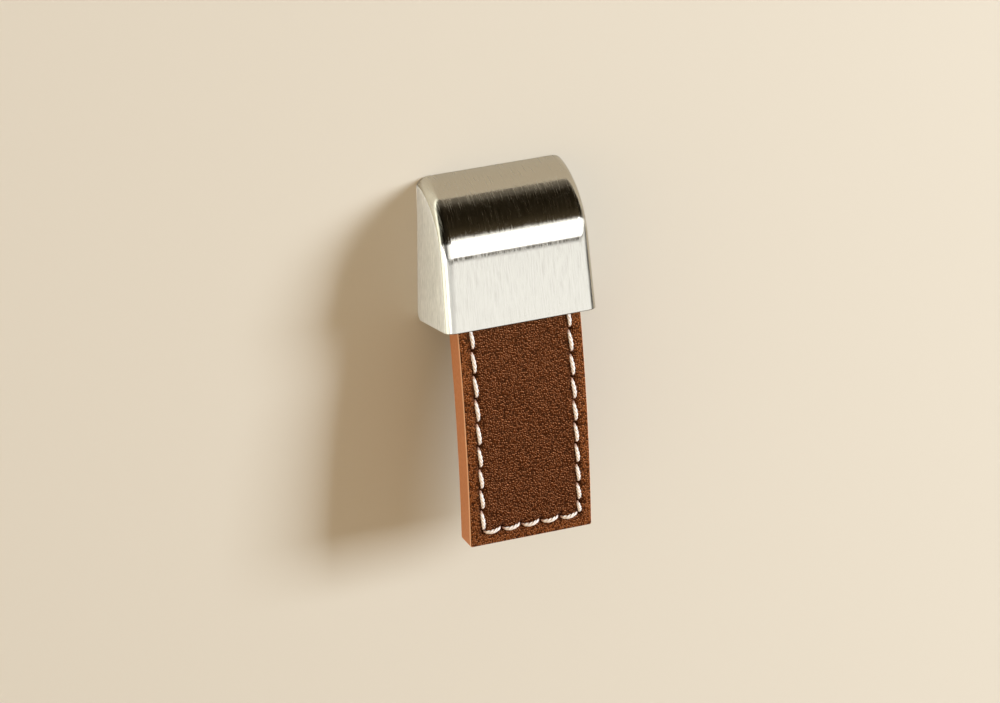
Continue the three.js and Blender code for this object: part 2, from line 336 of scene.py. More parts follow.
def corner_table(piece: Piece) -> tuple[np.ndarray, np.ndarray]:
    """Lists a mesh's face corners.

    Args:
        piece: The object whose mesh is read.

    Returns:
        The point of each corner, and the face of each corner.
    """
    mesh = piece.data
    vertex = np.empty(len(mesh.loops), np.int32)
    mesh.loops.foreach_get("vertex_index", vertex)
    totals = np.empty(len(mesh.polygons), np.int32)
    mesh.polygons.foreach_get("loop_total", totals)
    return vertex, np.repeat(np.arange(len(totals)), totals)


def face_normals(piece: Piece) -> np.ndarray:
    """Reads a mesh's face normals.

    Args:
        piece: The object whose mesh is read.

    Returns:
        The normals, one row each.
    """
    flat = np.empty(len(piece.data.polygons) * 3, np.float32)
    piece.data.polygons.foreach_get("normal", flat)
    return flat.reshape(-1, 3)


def hand_over(piece: Piece, slot: str, *nodes: str) -> None:
    """Lets a finished piece stand for its CAD nodes.

    Args:
        piece: The finished piece.
        slot: The record's material slot; it is not used.
        *nodes: The CAD nodes that it replaces.
    """
    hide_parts(*nodes)
    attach(piece, BODY)
    faces = len(piece.data.polygons)
    log.info("%s stands for %s, %d faces", piece.name, ", ".join(nodes), faces)


# Materials


class Board:
    """The node board of one material."""

    def __init__(self, name: str) -> None:
        """Starts a material with a bare Principled shader.

        Args:
            name: The material's name.
        """
        self.material = bpy.data.materials.new(name)
        self.material.use_nodes = True
        self.tree = self.material.node_tree
        self.shader = self.tree.nodes["Principled BSDF"]

    @classmethod
    def on(cls, tree: bpy.types.NodeTree) -> "Board":
        """Opens a board on a node tree that has no material.

        Args:
            tree: The node tree.

        Returns:
            The board.
        """
        board = cls.__new__(cls)
        board.tree = tree
        return board

    def node(self, kind: str, inputs: dict | None = None, **settings: Any) -> bpy.types.Node:
        """Adds a node.

        Args:
            kind: The node's type, without its ShaderNode prefix.
            inputs: Values or sockets for its inputs, by name or place.
            **settings: The node's own settings.

        Returns:
            The node.
        """
        made = self.tree.nodes.new(f"ShaderNode{kind}")
        for key, value in settings.items():
            setattr(made, key, value)
        for key, value in (inputs or {}).items():
            self.feed(made.inputs[key], value)
        return made

    def feed(self, socket: bpy.types.NodeSocket, value: Any) -> None:
        """Links a socket, or sets it.

        Args:
            socket: The input.
            value: A value, a socket, or a node whose first output is used.
        """
        if isinstance(value, bpy.types.Node):
            value = value.outputs[0]
        if isinstance(value, bpy.types.NodeSocket):
            self.tree.links.new(value, socket)
        else:
            socket.default_value = value

    def shade(self, **inputs: Any) -> None:
        """Sets the shader's inputs, whose names are written with underscores."""
        for key, value in inputs.items():
            self.feed(self.shader.inputs[key.replace("_", " ")], value)

    def uv(self, name: str, stretch: Point = (1, 1, 1), turn: float = 0) -> bpy.types.Node:
        """Reads a UV map.

        Args:
            name: The map's name.
            stretch: How much each axis is scaled.
            turn: The turn about the third axis, in degrees.

        Returns:
            A node whose first output is the place.
        """
        source = self.node("UVMap", uv_map=name)
        return self.mapped(source.outputs["UV"], stretch, turn)

    def object_place(self, stretch: Point = (1, 1, 1)) -> bpy.types.Node:
        """Reads the place on the object, scaled along each axis."""
        source = self.node("TexCoord")
        return self.mapped(source.outputs["Object"], stretch, 0)

    def mapped(self, source: Any, stretch: Point, turn: float) -> bpy.types.Node:
        """Scales and turns a place.

        Args:
            source: The socket that gives the place.
            stretch: How much each axis is scaled.
            turn: The turn about the third axis, in degrees.

        Returns:
            The mapping node.
        """
        if turn:
            spin = (0, 0, math.radians(turn))
            source = self.node("Mapping", {"Vector": source, "Rotation": spin}).outputs[0]
        return self.node("Mapping", {"Vector": source, "Scale": stretch})

    def noise(self, spot: Any, scale: float, detail: float = 3, rough: float = 0.5) -> Any:
        """Adds a noise and returns its value's socket.

        Args:
            spot: The place that it reads.
            scale: Its scale.
            detail: Its detail.
            rough: Its roughness.

        Returns:
            The socket of its value.
        """
        made = self.node(
            "TexNoise", {"Vector": spot, "Scale": scale, "Detail": detail, "Roughness": rough}
        )
        return made.outputs[0]

    def sum(self, first: Any, second: Any, share: float = 1) -> bpy.types.Node:
        """Adds a share of one value to another."""
        return self.node("Math", {0: second, 1: share, 2: first}, operation="MULTIPLY_ADD")

    def calculate(self, how: str, first: Any, second: Any) -> bpy.types.Node:
        """Works out one value from two, as by MULTIPLY or MAXIMUM."""
        return self.node("Math", {0: first, 1: second}, operation=how)

    def fit(
        self, value: Any, span: Span, start: Any = 0.0, end: Any = 1.0,
        ease: str = "LINEAR",
    ) -> bpy.types.Node:
        """Maps a value's span to another one, and stops at its ends.

        Args:
            value: The value that is read.
            span: The two values of it that count as start and end.
            start: What the first turns into.
            end: What the second turns into.
            ease: How the values between them run.

        Returns:
            The node.
        """
        low, high = span
        return self.node(
            "MapRange", {"Value": value, 1: low, 2: high, 3: start, 4: end},
            interpolation_type=ease,
        )

    def blend(self, share: Any, first: Any, second: Any, how: str = "MIX") -> Any:
        """Mixes two colours.

        Args:
            share: How much of the second there is, from 0 to 1.
            first: A colour's socket, or an (r, g, b).
            second: The same.
            how: The way they mix.

        Returns:
            The mixed colour's socket.
        """
        first, second = ((*c, 1) if isinstance(c, tuple) else c for c in (first, second))
        made = self.node("Mix", {0: share, 6: first, 7: second}, data_type="RGBA", blend_type=how)
        return made.outputs[2]

    def split(self, spot: Any) -> Any:
        """The three parts of a place, as sockets named X, Y and Z."""
        return self.node("SeparateXYZ", {0: spot}).outputs

    def ramp(self, value: Any, stops: list[tuple[float, Any]]) -> Any:
        """Turns a value into a colour.

        Args:
            value: The socket that is read.
            stops: Places from 0 to 1, each with a grey or an (r, g, b).

        Returns:
            The colour's socket.
        """
        made = self.node("ValToRGB", {"Fac": value})
        elements = made.color_ramp.elements
        while len(elements) < len(stops):
            elements.new(1)
        for element, (position, colour) in zip(elements, stops):
            element.position = position
            colour = (colour,) * 3 if isinstance(colour, (int, float)) else colour
            element.color = (*colour, 1)
        return made.outputs["Color"]

    def bump(self, height: Any, depth: float, strength: float = 1, under: Any = None) -> Any:
        """Adds a bump.

        Args:
            height: The socket of its height, from 0 to 1.
            depth: How deep that is, in millimetres.
            strength: How much of it shows.
            under: A bump under this one.

        Returns:
            The normal's socket.
        """
        inputs = {"Height": height, "Distance": depth * MM, "Strength": strength}
        if under is not None:
            inputs["Normal"] = under
        return self.node("Bump", inputs).outputs["Normal"]


def linear(value: int) -> float:
    """One channel of a colour, from 0 to 255 as a screen shows it, as shaders use it."""
    share = value / 255
    return share / 12.92 if share <= 0.04045 else ((share + 0.055) / 1.055) ** 2.4


def srgb(red: int, green: int, blue: int) -> Point:
    """A colour as a screen shows it, turned into the linear one that shaders use."""
    return linear(red), linear(green), linear(blue)


@dataclass(frozen=True)
class BrushedNickel:
    """Satin nickel, brushed along one direction, duller above roof_start, in metres."""

    name: str = "brushed_nickel"
    light: Point = srgb(191, 184, 170)
    dark: Point = srgb(187, 180, 166)
    roughness: float = 0.1
    scored_roughness: float = 0.25
    roof_roughness: float = 0.34
    spread: float = 0.97
    long_groove: float = 0.004
    short_groove: float = 0.0009
    long_lines: Point = (560, 24, 1)
    short_lines: Point = (640, 90, 1)
    score_lines: Point = (600, 34, 1)
    clouds: Point = (14, 9, 1)
    long_share: float = 0.9
    cloud_share: float = 0.4
    tone_span: Span = (0.85, 1.45)
    score_span: Span = (0.42, 0.72)
    roof_start: Span = (0.0005, 0.003)

    def material(self) -> bpy.types.Material:
        """Builds the material.

        Returns:
            A material that reads the UV map "brush", whose u runs across the brushing.
        """
        board = Board(self.name)
        strokes = board.noise(board.uv("brush", self.long_lines), 1, 2)
        short = board.noise(board.uv("brush", self.short_lines), 1, 2)
        score = board.noise(board.uv("brush", self.score_lines), 1, 3)
        cloud = board.noise(board.uv("brush", self.clouds), 1, 2)
        grain = board.sum(board.sum(short, strokes, self.long_share), cloud, self.cloud_share)
        scored = board.bump(strokes, self.long_groove)
        up = board.split(board.object_place())["Z"]
        rough = board.fit(up, self.roof_start, self.scored_roughness, self.roof_roughness)
        board.shade(
            Base_Color=board.ramp(
                board.fit(grain, self.tone_span), [(0.0, self.dark), (1.0, self.light)]
            ),
            Metallic=1.0,
            Roughness=board.fit(score, self.score_span, self.roughness, rough),
            Anisotropic=self.spread,
            Tangent=board.node("Tangent", direction_type="UV_MAP", uv_map="brush"),
            Normal=board.bump(short, self.short_groove, under=scored),
        )
        return board.material


@dataclass(frozen=True)
class CastZinc:
    """The plated but unbrushed inside of the casting."""

    name: str = "cast_inside"
    colour: Point = srgb(176, 173, 165)
    hollow_share: float = 0.72
    sand_scale: float = 5200
    flow_scale: float = 420
    sand_depth: float = 0.012
    roughness: Span = (0.34, 0.5)

    def material(self) -> bpy.types.Material:
        """Builds the material.

        Returns:
            A dull metal with a fine sandy skin.
        """
        board = Board(self.name)
        spot = board.object_place()
        sand = board.noise(spot, self.sand_scale, 3)
        flow = board.noise(spot, self.flow_scale, 2)
        dim = tuple(channel * self.hollow_share for channel in self.colour)
        board.shade(
            Base_Color=board.ramp(flow, [(0.3, dim), (0.7, self.colour)]),
            Metallic=1.0,
            Roughness=board.fit(sand, (0, 1), *self.roughness),
            Normal=board.bump(sand, self.sand_depth),
        )
        return board.material


@dataclass(frozen=True)
class PlatedSteel:
    """Bright zinc-plated steel."""

    name: str = "plated_steel"
    colour: Point = srgb(196, 198, 200)
    bluing: Point = (0.8, 0.84, 0.9)
    cloud_scale: float = 300
    mark_scale: float = 3600
    mark_stretch: Point = (1, 0.08, 1)
    mark_depth: float = 0.003
    roughness: Span = (0.24, 0.36)

    def material(self) -> bpy.types.Material:
        """Builds the material.

        Returns:
            A bright metal with faint plating clouds and rolling marks.
        """
        board = Board(self.name)
        cloud = board.noise(board.object_place(), self.cloud_scale, 3)
        mark = board.noise(board.object_place(self.mark_stretch), self.mark_scale, 2)
        blue = tuple(c * f for c, f in zip(self.colour, self.bluing))
        board.shade(
            Base_Color=board.ramp(cloud, [(0.35, blue), (0.65, self.colour)]),
            Metallic=1.0,
            Roughness=board.fit(cloud, (0, 1), *self.roughness),
            Normal=board.bump(mark, self.mark_depth),
        )
        return board.material


@dataclass(frozen=True)
class GrainLeather:
    """Finely pebbled brown leather, with painted highlights on the pebbles' sides that face the
    light, and painted shade at the needle holes and puckers where it is pressed in.
    """

    name: str = "grain_leather"
    crease: Point = srgb(38, 10, 0)
    body: Point = srgb(77, 33, 7)
    # the crown colour is a painted highlight on the pebbles' sides that face the light
    crown: Point = srgb(194, 130, 88)
    margin: Point = srgb(120, 62, 24)
    gloss: Point = (1.0, 0.46, 0.17)
    pebble: float = 0.21
    row_dip: float = 15.0
    relief: float = 0.08
    margin_relief: float = 0.8
    slope_step: float = 0.04
    wander_scale: float = 70.0
    wander_reach: float = 0.006
    rows: Point = (170, 460, 1)
    row_share: float = 0.45
    fine_scale: float = 1400
    fine_share: float = 0.06
    pebble_shape: Point = (0.76, 1.0, 1)
    scatter: float = 0.55
    melt: float = 0.2
    dome_span: Span = (0.75, 0.08)
    height_span: Span = (0.45, 1.0)
    painted_highlight_span: Span = (0.16, 0.62)
    roughness: Span = (0.34, 0.26)
    shine: float = 0.22
    hole_shade: float = 0.55
    hole_dullness: float = 0.35

    def material(self) -> bpy.types.Material:
        """Builds the material.

        Returns:
            A material that reads the UV map "hide", in tenths of a metre, and "press", whose u
            is how far the leather is pressed in and v how far it belongs to the margin.
        """
        board = Board(self.name)
        flat = board.uv("hide")
        wander = board.node("TexNoise", {"Vector": flat, "Scale": self.wander_scale, "Detail": 2.0})
        reach = (self.wander_reach, self.wander_reach, 0)
        drift = board.node(
            "VectorMath", {0: wander.outputs["Color"], 1: reach}, operation="MULTIPLY"
        )
        spot = board.node("VectorMath", {0: flat, 1: drift}, operation="ADD")
        upper = self.domes(board, spot.outputs[0], self.slope_step)
        lower = self.domes(board, spot.outputs[0], -self.slope_step)
        rows = board.noise(board.mapped(spot.outputs[0], self.rows, self.row_dip), 1, 2)
        fine = board.noise(flat, self.fine_scale, 2)
        dome = board.sum(board.sum(0.0, upper, 0.5), lower, 0.5)
        height = board.sum(board.sum(dome, rows, self.row_share), fine, self.fine_share)
        tone = board.fit(height, self.height_span)
        press = board.split(board.node("UVMap", uv_map="press"))
        # painted highlight: the crown colour goes where the pebbles' height falls towards the
        # light, on their lit sides
        lit = board.fit(board.calculate("SUBTRACT", lower, upper), self.painted_highlight_span)
        inner = board.ramp(tone, [(0.0, self.crease), (0.6, self.body)])
        outer = board.ramp(tone, [(0.0, self.crease), (0.6, self.margin)])
        colour = board.blend(lit, board.blend(press["Y"], inner, outer), self.crown)
        # painted shade: the needle holes and puckers are painted darker than the creases
        hole = tuple(channel * self.hole_shade for channel in self.crease)
        relief = board.fit(press["Y"], (0, 1), 1.0, self.margin_relief)
        worn = board.fit(tone, (0, 1), *self.roughness)
        board.shade(
            Base_Color=board.blend(press["X"], colour, hole),
            Roughness=board.sum(worn, press["X"], self.hole_dullness),
            Specular_IOR_Level=self.shine,
            Specular_Tint=(*self.gloss, 1),
            Normal=board.bump(board.calculate("MULTIPLY", height, relief), self.relief),
        )
        return board.material

    def domes(self, board: Board, spot: Any, aside: float) -> Any:
        """The pebbles' height, read a little up or down the light's slope.

        Args:
            board: The material's node board.
            spot: The socket of the place on the hide.
            aside: How far up the slope it is read, in millimetres.

        Returns:
            The socket of a height of about 0 to 1.
        """
        step = (aside * 0.5 / 100, aside / 100, 0)
        moved = board.node("VectorMath", {0: spot, 1: step}, operation="ADD")
        laid = board.mapped(moved.outputs[0], self.pebble_shape, self.row_dip)
        inputs = {"Vector": laid, "Scale": 100 / self.pebble}
        inputs |= {"Randomness": self.scatter, "Smoothness": self.melt}
        cells = board.node("TexVoronoi", inputs, feature="SMOOTH_F1")
        return board.fit(cells.outputs["Distance"], self.dome_span)


@dataclass(frozen=True)
class CutEdge:
    """The tab's cut edge, tan and slightly fibrous, with a painted highlight along the front
    corner.
    """

    name: str = "cut_edge"
    tan: Point = srgb(203, 136, 88)
    shaded: Point = srgb(182, 112, 68)
    # painted highlight along the edge's front corner
    corner: Point = srgb(240, 190, 152)
    fibre_shape: Point = (1, 3.4, 1)
    fibre_scale: float = 160
    speck_scale: float = 900
    fuzz: float = 0.025
    raggedness: float = 0.0025
    shine: float = 0.25
    corner_highlight_span: Span = (0.0032, 0.0012)
    roughness: Span = (0.5, 0.66)

    def material(self) -> bpy.types.Material:
        """Builds the material.

        Returns:
            A material that reads the UV map "edge": u along the edge, v from front to back.
        """
        board = Board(self.name)
        across = board.split(board.node("UVMap", uv_map="edge"))["Y"]
        fibre = board.noise(board.uv("edge", self.fibre_shape), self.fibre_scale, 4, 0.6)
        speck = board.noise(board.uv("edge"), self.speck_scale, 3)
        base = board.ramp(board.sum(fibre, speck, 0.4), [(0.45, self.shaded), (0.9, self.tan)])
        # painted highlight: the corner colour along the front corner, with a ragged border
        lip = board.fit(board.sum(across, speck, -self.raggedness), self.corner_highlight_span)
        board.shade(
            Base_Color=board.blend(lip, base, self.corner),
            Roughness=board.fit(speck, (0, 1), *self.roughness),
            Specular_IOR_Level=self.shine,
            Normal=board.bump(board.sum(fibre, speck, 0.7), self.fuzz),
        )
        return board.material


@dataclass(frozen=True)
class SewingThread:
    """Off-white waxed thread, pinker and darker towards each stitch's ends."""

    name: str = "sewing_thread"
    white: Point = srgb(255, 245, 234)
    groove: Point = srgb(246, 224, 206)
    end_tint: Point = srgb(214, 164, 138)
    tinted_end_share: float = 0.16
    fibre_shape: Point = (9, 2, 1)
    fibre_twist: float = 20
    fuzz: float = 0.03

    def material(self) -> bpy.types.Material:
        """Builds the material.

        Returns:
            A material that reads the UV map "ply": u around a ply, v along the stitch.
        """
        board = Board(self.name)
        run = board.split(board.node("UVMap", uv_map="ply"))["Y"]
        fibre = board.noise(board.uv("ply", self.fibre_shape, self.fibre_twist), 1, 3, 0.6)
        base = board.ramp(fibre, [(0.3, self.groove), (0.55, self.white)])
        # the thread is tinted pinker and darker towards both ends of each stitch
        near = board.fit(run, (self.tinted_end_share, 0.0), ease="SMOOTHSTEP")
        far = board.fit(run, (1 - self.tinted_end_share, 1.0), ease="SMOOTHSTEP")
        board.shade(
            Base_Color=board.blend(board.sum(near, far), base, self.end_tint),
            Roughness=0.6,
            Sheen_Weight=0.1,
            Normal=board.bump(fibre, self.fuzz),
        )
        return board.material


@dataclass(frozen=True)
class WallPaint:
    """The plain pale surface that the knob is fixed to, open to the eye from behind.

    The side of the hood mirrors the wall beside it. There the wall carries a painted reflection: a
    pale glow, seen in reflections only, brighter farther out. Its places are in metres.
    """

    name: str = "wall"
    colour: Point = srgb(219, 208, 188)
    reflection_glow: Point = (0.5, 0.56, 0.53)
    glow_start: Span = (-0.008, -0.016)
    glow_far: Span = (-0.03, -0.05)
    glow_levels: Span = (0.7475, 3.7375)
    plaster_scale: float = 900
    plaster_depth: float = 0.01

    def material(self) -> bpy.types.Material:
        """Builds the material.

        Returns:
            A matt surface that can be seen only from the front.
        """
        board = Board(self.name)
        spot = board.object_place()
        # painted reflection: left of the hood the wall glows for reflected rays only, more so
        # farther out
        aside = board.split(spot)["X"]
        near = board.fit(aside, self.glow_start)
        far = board.fit(aside, self.glow_far, *self.glow_levels)
        glow = board.calculate("MULTIPLY", near, far)
        mirrored = board.node("LightPath").outputs["Is Glossy Ray"]
        board.shade(
            Emission_Color=(*self.reflection_glow, 1),
            Emission_Strength=board.calculate("MULTIPLY", glow, mirrored),
            Base_Color=(*self.colour, 1),
            Roughness=0.75,
            Normal=board.bump(board.noise(spot, self.plaster_scale, 3), self.plaster_depth, 0.3),
        )
        behind = board.node("NewGeometry").outputs["Backfacing"]
        clear = board.node("BsdfTransparent")
        mix = board.node("MixShader", {0: behind, 1: board.shader.outputs[0], 2: clear})
        board.feed(board.tree.nodes["Material Output"].inputs["Surface"], mix)
        return board.material


# The shapes that the pieces share


@dataclass(frozen=True)
class Sizes:
    """The sizes that more than one piece needs."""

    tab_width: float = 18.6
    tab_thickness: float = 3.8
    tab_free: float = 32.5
    tab_held: float = 7.2
    tab_bend: float = 190.0
    tab_front: float = 1.65
    hood_depth: float = 11.8
    hood_height: float = 21.5
    hood_width: float = 22.8
    roof_radius: float = 10.9
    lean: float = math.radians(10.5)
    draft: float = math.radians(1.15)
    screw_height: float = 13.5657
    mouth_rise: float = 2.187
    post_reach: float = 4.0
    post_height: float = 4.2

    @property
    def tab_back(self) -> float:
        """The depth of the tab's back behind the hood's front face."""
        return self.tab_front + self.tab_thickness

    @property
    def roof_axis(self) -> Span:
        """The axis about which the roof curves.

        Returns:
            Its Y and its Z.
        """
        rise = self.hood_height - self.roof_radius
        mouth = self.hood_depth / math.cos(self.lean)
        depth = (mouth - self.roof_radius - rise * math.sin(self.lean)) / math.cos(self.lean)
        return -depth, rise - self.screw_height

    @property
    def foot(self) -> Vector:
        """The middle of the hood's front bottom edge."""
        return Vector((0, -self.hood_depth, self.mouth_rise - self.screw_height))

    @property
    def up(self) -> Vector:
        """The direction up the hood's front face."""
        return Vector((0, math.sin(self.lean), math.cos(self.lean)))

    @property
    def front(self) -> Matrix:
        """The frame of the hood's front face, in metres: x across, y inwards, z up it."""
        return Matrix.Translation(self.foot * MM) @ Matrix.Rotation(-self.lean, 4, "X")

    def post(self, side: int, depth: float = 0.0) -> Matrix:
        """The move from the front face's frame to one post, some way behind the face."""
        return Matrix.Translation(Vector((side * self.post_reach, depth, self.post_height)) * MM)

    def hang(self, flat: np.ndarray) -> np.ndarray:
        """Bends flat tab points into the hanging tab.

        Args:
            flat: Rows of x, depth behind the tab's front and height above the mouth.

        Returns:
            The points where they hang, in millimetres.
        """
        turn = np.maximum(0, -flat[:, 2]) / self.tab_bend
        radius = self.tab_bend - flat[:, 1]
        depth = self.tab_front + self.tab_bend - radius * np.cos(turn)
        up = np.maximum(0, flat[:, 2]) - radius * np.sin(turn)
        turned = np.array(self.front.to_3x3())
        shift = np.array(self.front.translation) / MM
        return np.c_[flat[:, 0], depth, up] @ turned.T + shift


SIZES = Sizes()


# Hood


def joins(edge: Any, one: Callable[[Any], bool], other: Callable[[Any], bool]) -> bool:
    """Whether an edge lies between two kinds of faces.

    Args:
        edge: The edge.
        one: The test that one of its faces passes.
        other: The test that its other face passes.

    Returns:
        True where it joins one of each.
    """
    if len(edge.link_faces) != 2:
        return False
    a, b = edge.link_faces
    return (one(a) and other(b)) or (one(b) and other(a))


def is_side(face: Any) -> bool:
    """Whether a face looks left or right."""
    return abs(face.normal.x) > 0.9


def is_strip(face: Any) -> bool:
    """Whether a face belongs to the strip of front and roof."""
    return abs(face.normal.x) < 0.1 and (face.normal.y < -0.1 or face.normal.z > 0.9)


def is_back(face: Any) -> bool:
    """Whether a face lies on the door."""
    return face.normal.y > 0.999


def is_outside(face: Any) -> bool:
    """Whether a face belongs to the hood's front, roof or sides, or their round edges."""
    return abs(face.normal.x) > 0.02 or face.normal.y < 0 or face.normal.z > 0.5


@dataclass
class Hood:
    """The cast hood: a thin shell with a screw boss and two posts inside."""

    sizes: Sizes = SIZES
    edge_radius: float = 1.6
    heel_radius: float = 1.2
    wall: float = 1.0
    floor: float = 1.2
    inner_radius: float = 0.5
    lip: float = 0.15
    back_lip: float = 0.08
    slot_side: float = 0.3
    slot_back: float = 0.4
    boss_radius: float = 4.0
    bore_radius: float = 2.15
    bore_depth: float = 7.65
    post_radius: float = 2.0
    post_bore_radius: float = 1.4
    post_bore_cover: float = 1.85
    boss_edge: float = 0.25
    heel_steps: int = 6
    rim_steps: int = 3
    overrun: float = 4.0
    ease: float = 0.8
    ease_radius: float = 34.0
    ease_steps: int = 4
    roof_steps: int = 26
    edge_steps: int = 10
    flank_facing: float = 0.93
    flank_shift: float = 40

    def build(self) -> Piece:
        """Models and dresses the hood.

        Returns:
            The finished piece.
        """
        skin = self.dressed(self.loaf("hood_shell", 0), BrushedNickel().material())
        skin.data.materials.append(self.side_finish_painted_lighter().material())
        self.round_rims(skin)
        inside = CastZinc().material()
        cavity = self.dressed(self.loaf("cavity", self.wall), inside)
        for tool in self.solid_inside():
            carve(cavity, tool)
        carve(skin, cavity)
        for tool in self.openings():
            carve(skin, self.dressed(tool, inside))
        self.tidy(skin)
        smooth(skin, 32)
        self.map_brushing(skin)
        hand_over(skin, "nickel", "hood")
        return skin

    def side_finish_painted_lighter(self) -> BrushedNickel:
        """The sides' finish: the same nickel, brushed with a coarser belt, and painted lighter than
        the rest to stand in for the light on the sides.
        """
        return BrushedNickel(
            name="side_nickel",
            # painted light: the sides get a lighter copy of the nickel's colour
            light=srgb(232, 227, 217),
            dark=srgb(196, 191, 181),
            roughness=0.46,
            scored_roughness=0.54,
            roof_roughness=0.54,
            spread=0.75,
            long_groove=0.014,
            short_groove=0.004,
        )

    def dressed(self, piece: Piece, material: bpy.types.Material) -> Piece:
        """Gives a piece its only material and returns it."""
        piece.data.materials.append(material)
        return piece

    def half_width(self, inset: float) -> float:
        """Half the width at the height of the hood's bottom edge."""
        return self.sizes.hood_width / 2 - inset

    def loaf(self, name: str, inset: float) -> Piece:
        """Models the hood's rounded block, or the same block some way inside it.

        Args:
            name: The piece's name.
            inset: How far inside the outer skin it lies.

        Returns:
            A closed block, cut at the door and the mouth, or running past the door inside.
        """
        piece = self.front_sheet(name, inset)
        self.wrap_roof(piece, inset)
        self.close_block(piece)
        self.draw_sides(piece, inset)
        self.round_edges(piece, self.edge_radius if inset == 0 else self.inner_radius)
        self.trim(piece, inset)
        return piece

    def front_sheet(self, name: str, inset: float) -> Piece:
        """Adds the front as a flat sheet that runs on below the mouth.

        Args:
            name: The piece's name.
            inset: How far inside the outer skin it lies.

        Returns:
            The sheet.
        """
        size = self.sizes
        axis_y, axis_z = size.roof_axis
        normal = Vector((0, -math.cos(size.lean), math.sin(size.lean)))
        top = Vector((0, axis_y, axis_z)) + normal * (size.roof_radius - inset)
        top -= size.up * self.ease
        tall = (axis_z + size.screw_height - size.mouth_rise) + self.overrun
        deselect()
        bpy.ops.mesh.primitive_plane_add(
            size=1,
            location=(top - size.up * tall / 2) * MM,
            rotation=(math.pi / 2 - size.lean, 0, 0),
        )
        piece = bpy.context.active_object
        piece.scale = ((size.hood_width + self.overrun) * MM, tall * MM, 1)
        return added(name)

    def wrap_roof(self, piece: Piece, inset: float) -> None:
        """Spins the sheet's top edge into the roof and runs it back past the door.

        The roof starts with a short turn about a far axis, so that the flat front runs into it
        without an edge.

        Args:
            piece: The sheet.
            inset: How far inside the outer skin it lies.
        """
        size = self.sizes
        axis_y, axis_z = size.roof_axis
        radius = size.roof_radius - inset
        top = max(v.co.z for v in piece.data.vertices)
        slack = self.ease_radius - radius
        turn = math.atan2(self.ease, slack)
        away = math.hypot(self.ease, slack)
        lean = size.lean + turn
        easing = (axis_y + math.cos(lean) * away, axis_z - math.sin(lean) * away)
        with editing(piece, Pick.EDGES):
            pick(lambda e: all(v.co.z > top - 1e-5 for v in e.verts), Pick.EDGES)
            bpy.ops.mesh.spin(
                steps=self.ease_steps,
                angle=turn,
                center=(0, easing[0] * MM, easing[1] * MM),
                axis=(1, 0, 0),
            )
            bpy.ops.mesh.spin(
                steps=self.roof_steps,
                angle=math.pi / 2 - lean,
                center=(0, axis_y * MM, axis_z * MM),
                axis=(1, 0, 0),
            )
            extrude(0, self.overrun * MM, 0)
            low = min(v.co.z for v in piece.data.vertices)
            pick(lambda e: all(v.co.z < low + 1e-5 for v in e.verts), Pick.EDGES)
            depths = [v.co.y for v in bmesh.from_edit_mesh(piece.data).verts]
            extrude(0, max(depths) - min(depths), 0)

    def close_block(self, piece: Piece) -> None:
        """Fills the back and both sides."""
        with editing(piece, Pick.VERTS):
            pick_all()
            bpy.ops.mesh.remove_doubles(threshold=1e-6)
            reach = max(v.co.y for v in bmesh.from_edit_mesh(piece.data).verts)
            pick(lambda v: v.co.y > reach - 1e-6, Pick.VERTS)
            bpy.ops.mesh.edge_face_add()
            for side in (-1, 1):
                pick(lambda v, s=side: v.co.x * s > 0, Pick.VERTS)
                bpy.ops.mesh.edge_face_add()
            turn_outwards()

    def draw_sides(self, piece: Piece, inset: float) -> None:
        """Cuts both sides back to the hood's width, drawn in towards the top."""
        size = self.sizes
        for side in (-1, 1):
            with editing(piece):
                cut_off(
                    (side * self.half_width(inset) * MM, 0, -size.screw_height * MM),
                    (side * math.cos(size.draft), 0, math.sin(size.draft)),
                )

    def round_edges(self, piece: Piece, radius: float) -> None:
        """Rounds the long edges between the sides and the roof and front."""
        with editing(piece, Pick.EDGES):
            pick(lambda e: joins(e, is_side, is_strip), Pick.EDGES)
            bevel(radius, self.edge_steps)

    def trim(self, piece: Piece, inset: float) -> None:
        """Cuts the block at the mouth, or at the floor inside, and at the door.

        Args:
            piece: The block.
            inset: How far inside the outer skin it lies.
        """
        size = self.sizes
        floor = self.floor if inset > 0 else 0
        with editing(piece):
            cut_off((size.foot + size.up * floor) * MM, -size.up)
            if inset == 0:
                cut_off((0, 0, 0), (0, 1, 0))

    def round_rims(self, piece: Piece) -> None:
        """Rounds the heel, and breaks the edges of the mouth and the back."""
        lean = self.sizes.lean
        with editing(piece, Pick.EDGES):
            pick(lambda e: joins(e, self.is_mouth, is_back), Pick.EDGES)
            bevel(self.heel_radius * (1 + math.sin(lean)) / math.cos(lean), self.heel_steps)
            for rim, width in ((self.is_mouth, self.lip), (is_back, self.back_lip)):
                pick(lambda e, r=rim: joins(e, r, is_outside), Pick.EDGES)
                bevel(width, self.rim_steps)

    def is_mouth(self, face: Any) -> bool:
        """Whether a face is the block's underside."""
        return face.normal.dot(self.sizes.up) < -0.999

    def post_bar(self, side: int, radius: float, start: float, end: float) -> Piece:
        """A bar on the axis of one post.

        Args:
            side: -1 for the left post and 1 for the right.
            radius: The bar's radius.
            start: Where it starts behind the hood's front face.
            end: Where it ends.

        Returns:
            The bar.
        """
        piece = bar("post_bar", radius, start, end, 40)
        place(piece, self.sizes.front @ self.sizes.post(side))
        return piece

    def solid_inside(self) -> list[Piece]:
        """The boss and the posts, which the cavity leaves standing.

        Returns:
            The three solid bars.
        """
        size = self.sizes
        boss = bar("boss", self.boss_radius, -size.hood_depth, 0, 64)
        with editing(boss):
            pick(lambda f: f.normal.y > 0.9)
            bevel(self.boss_edge, self.rim_steps)
        posts = [
            self.post_bar(side, self.post_radius, self.wall / 2, size.tab_back) for side in (-1, 1)
        ]
        return [boss, *posts]

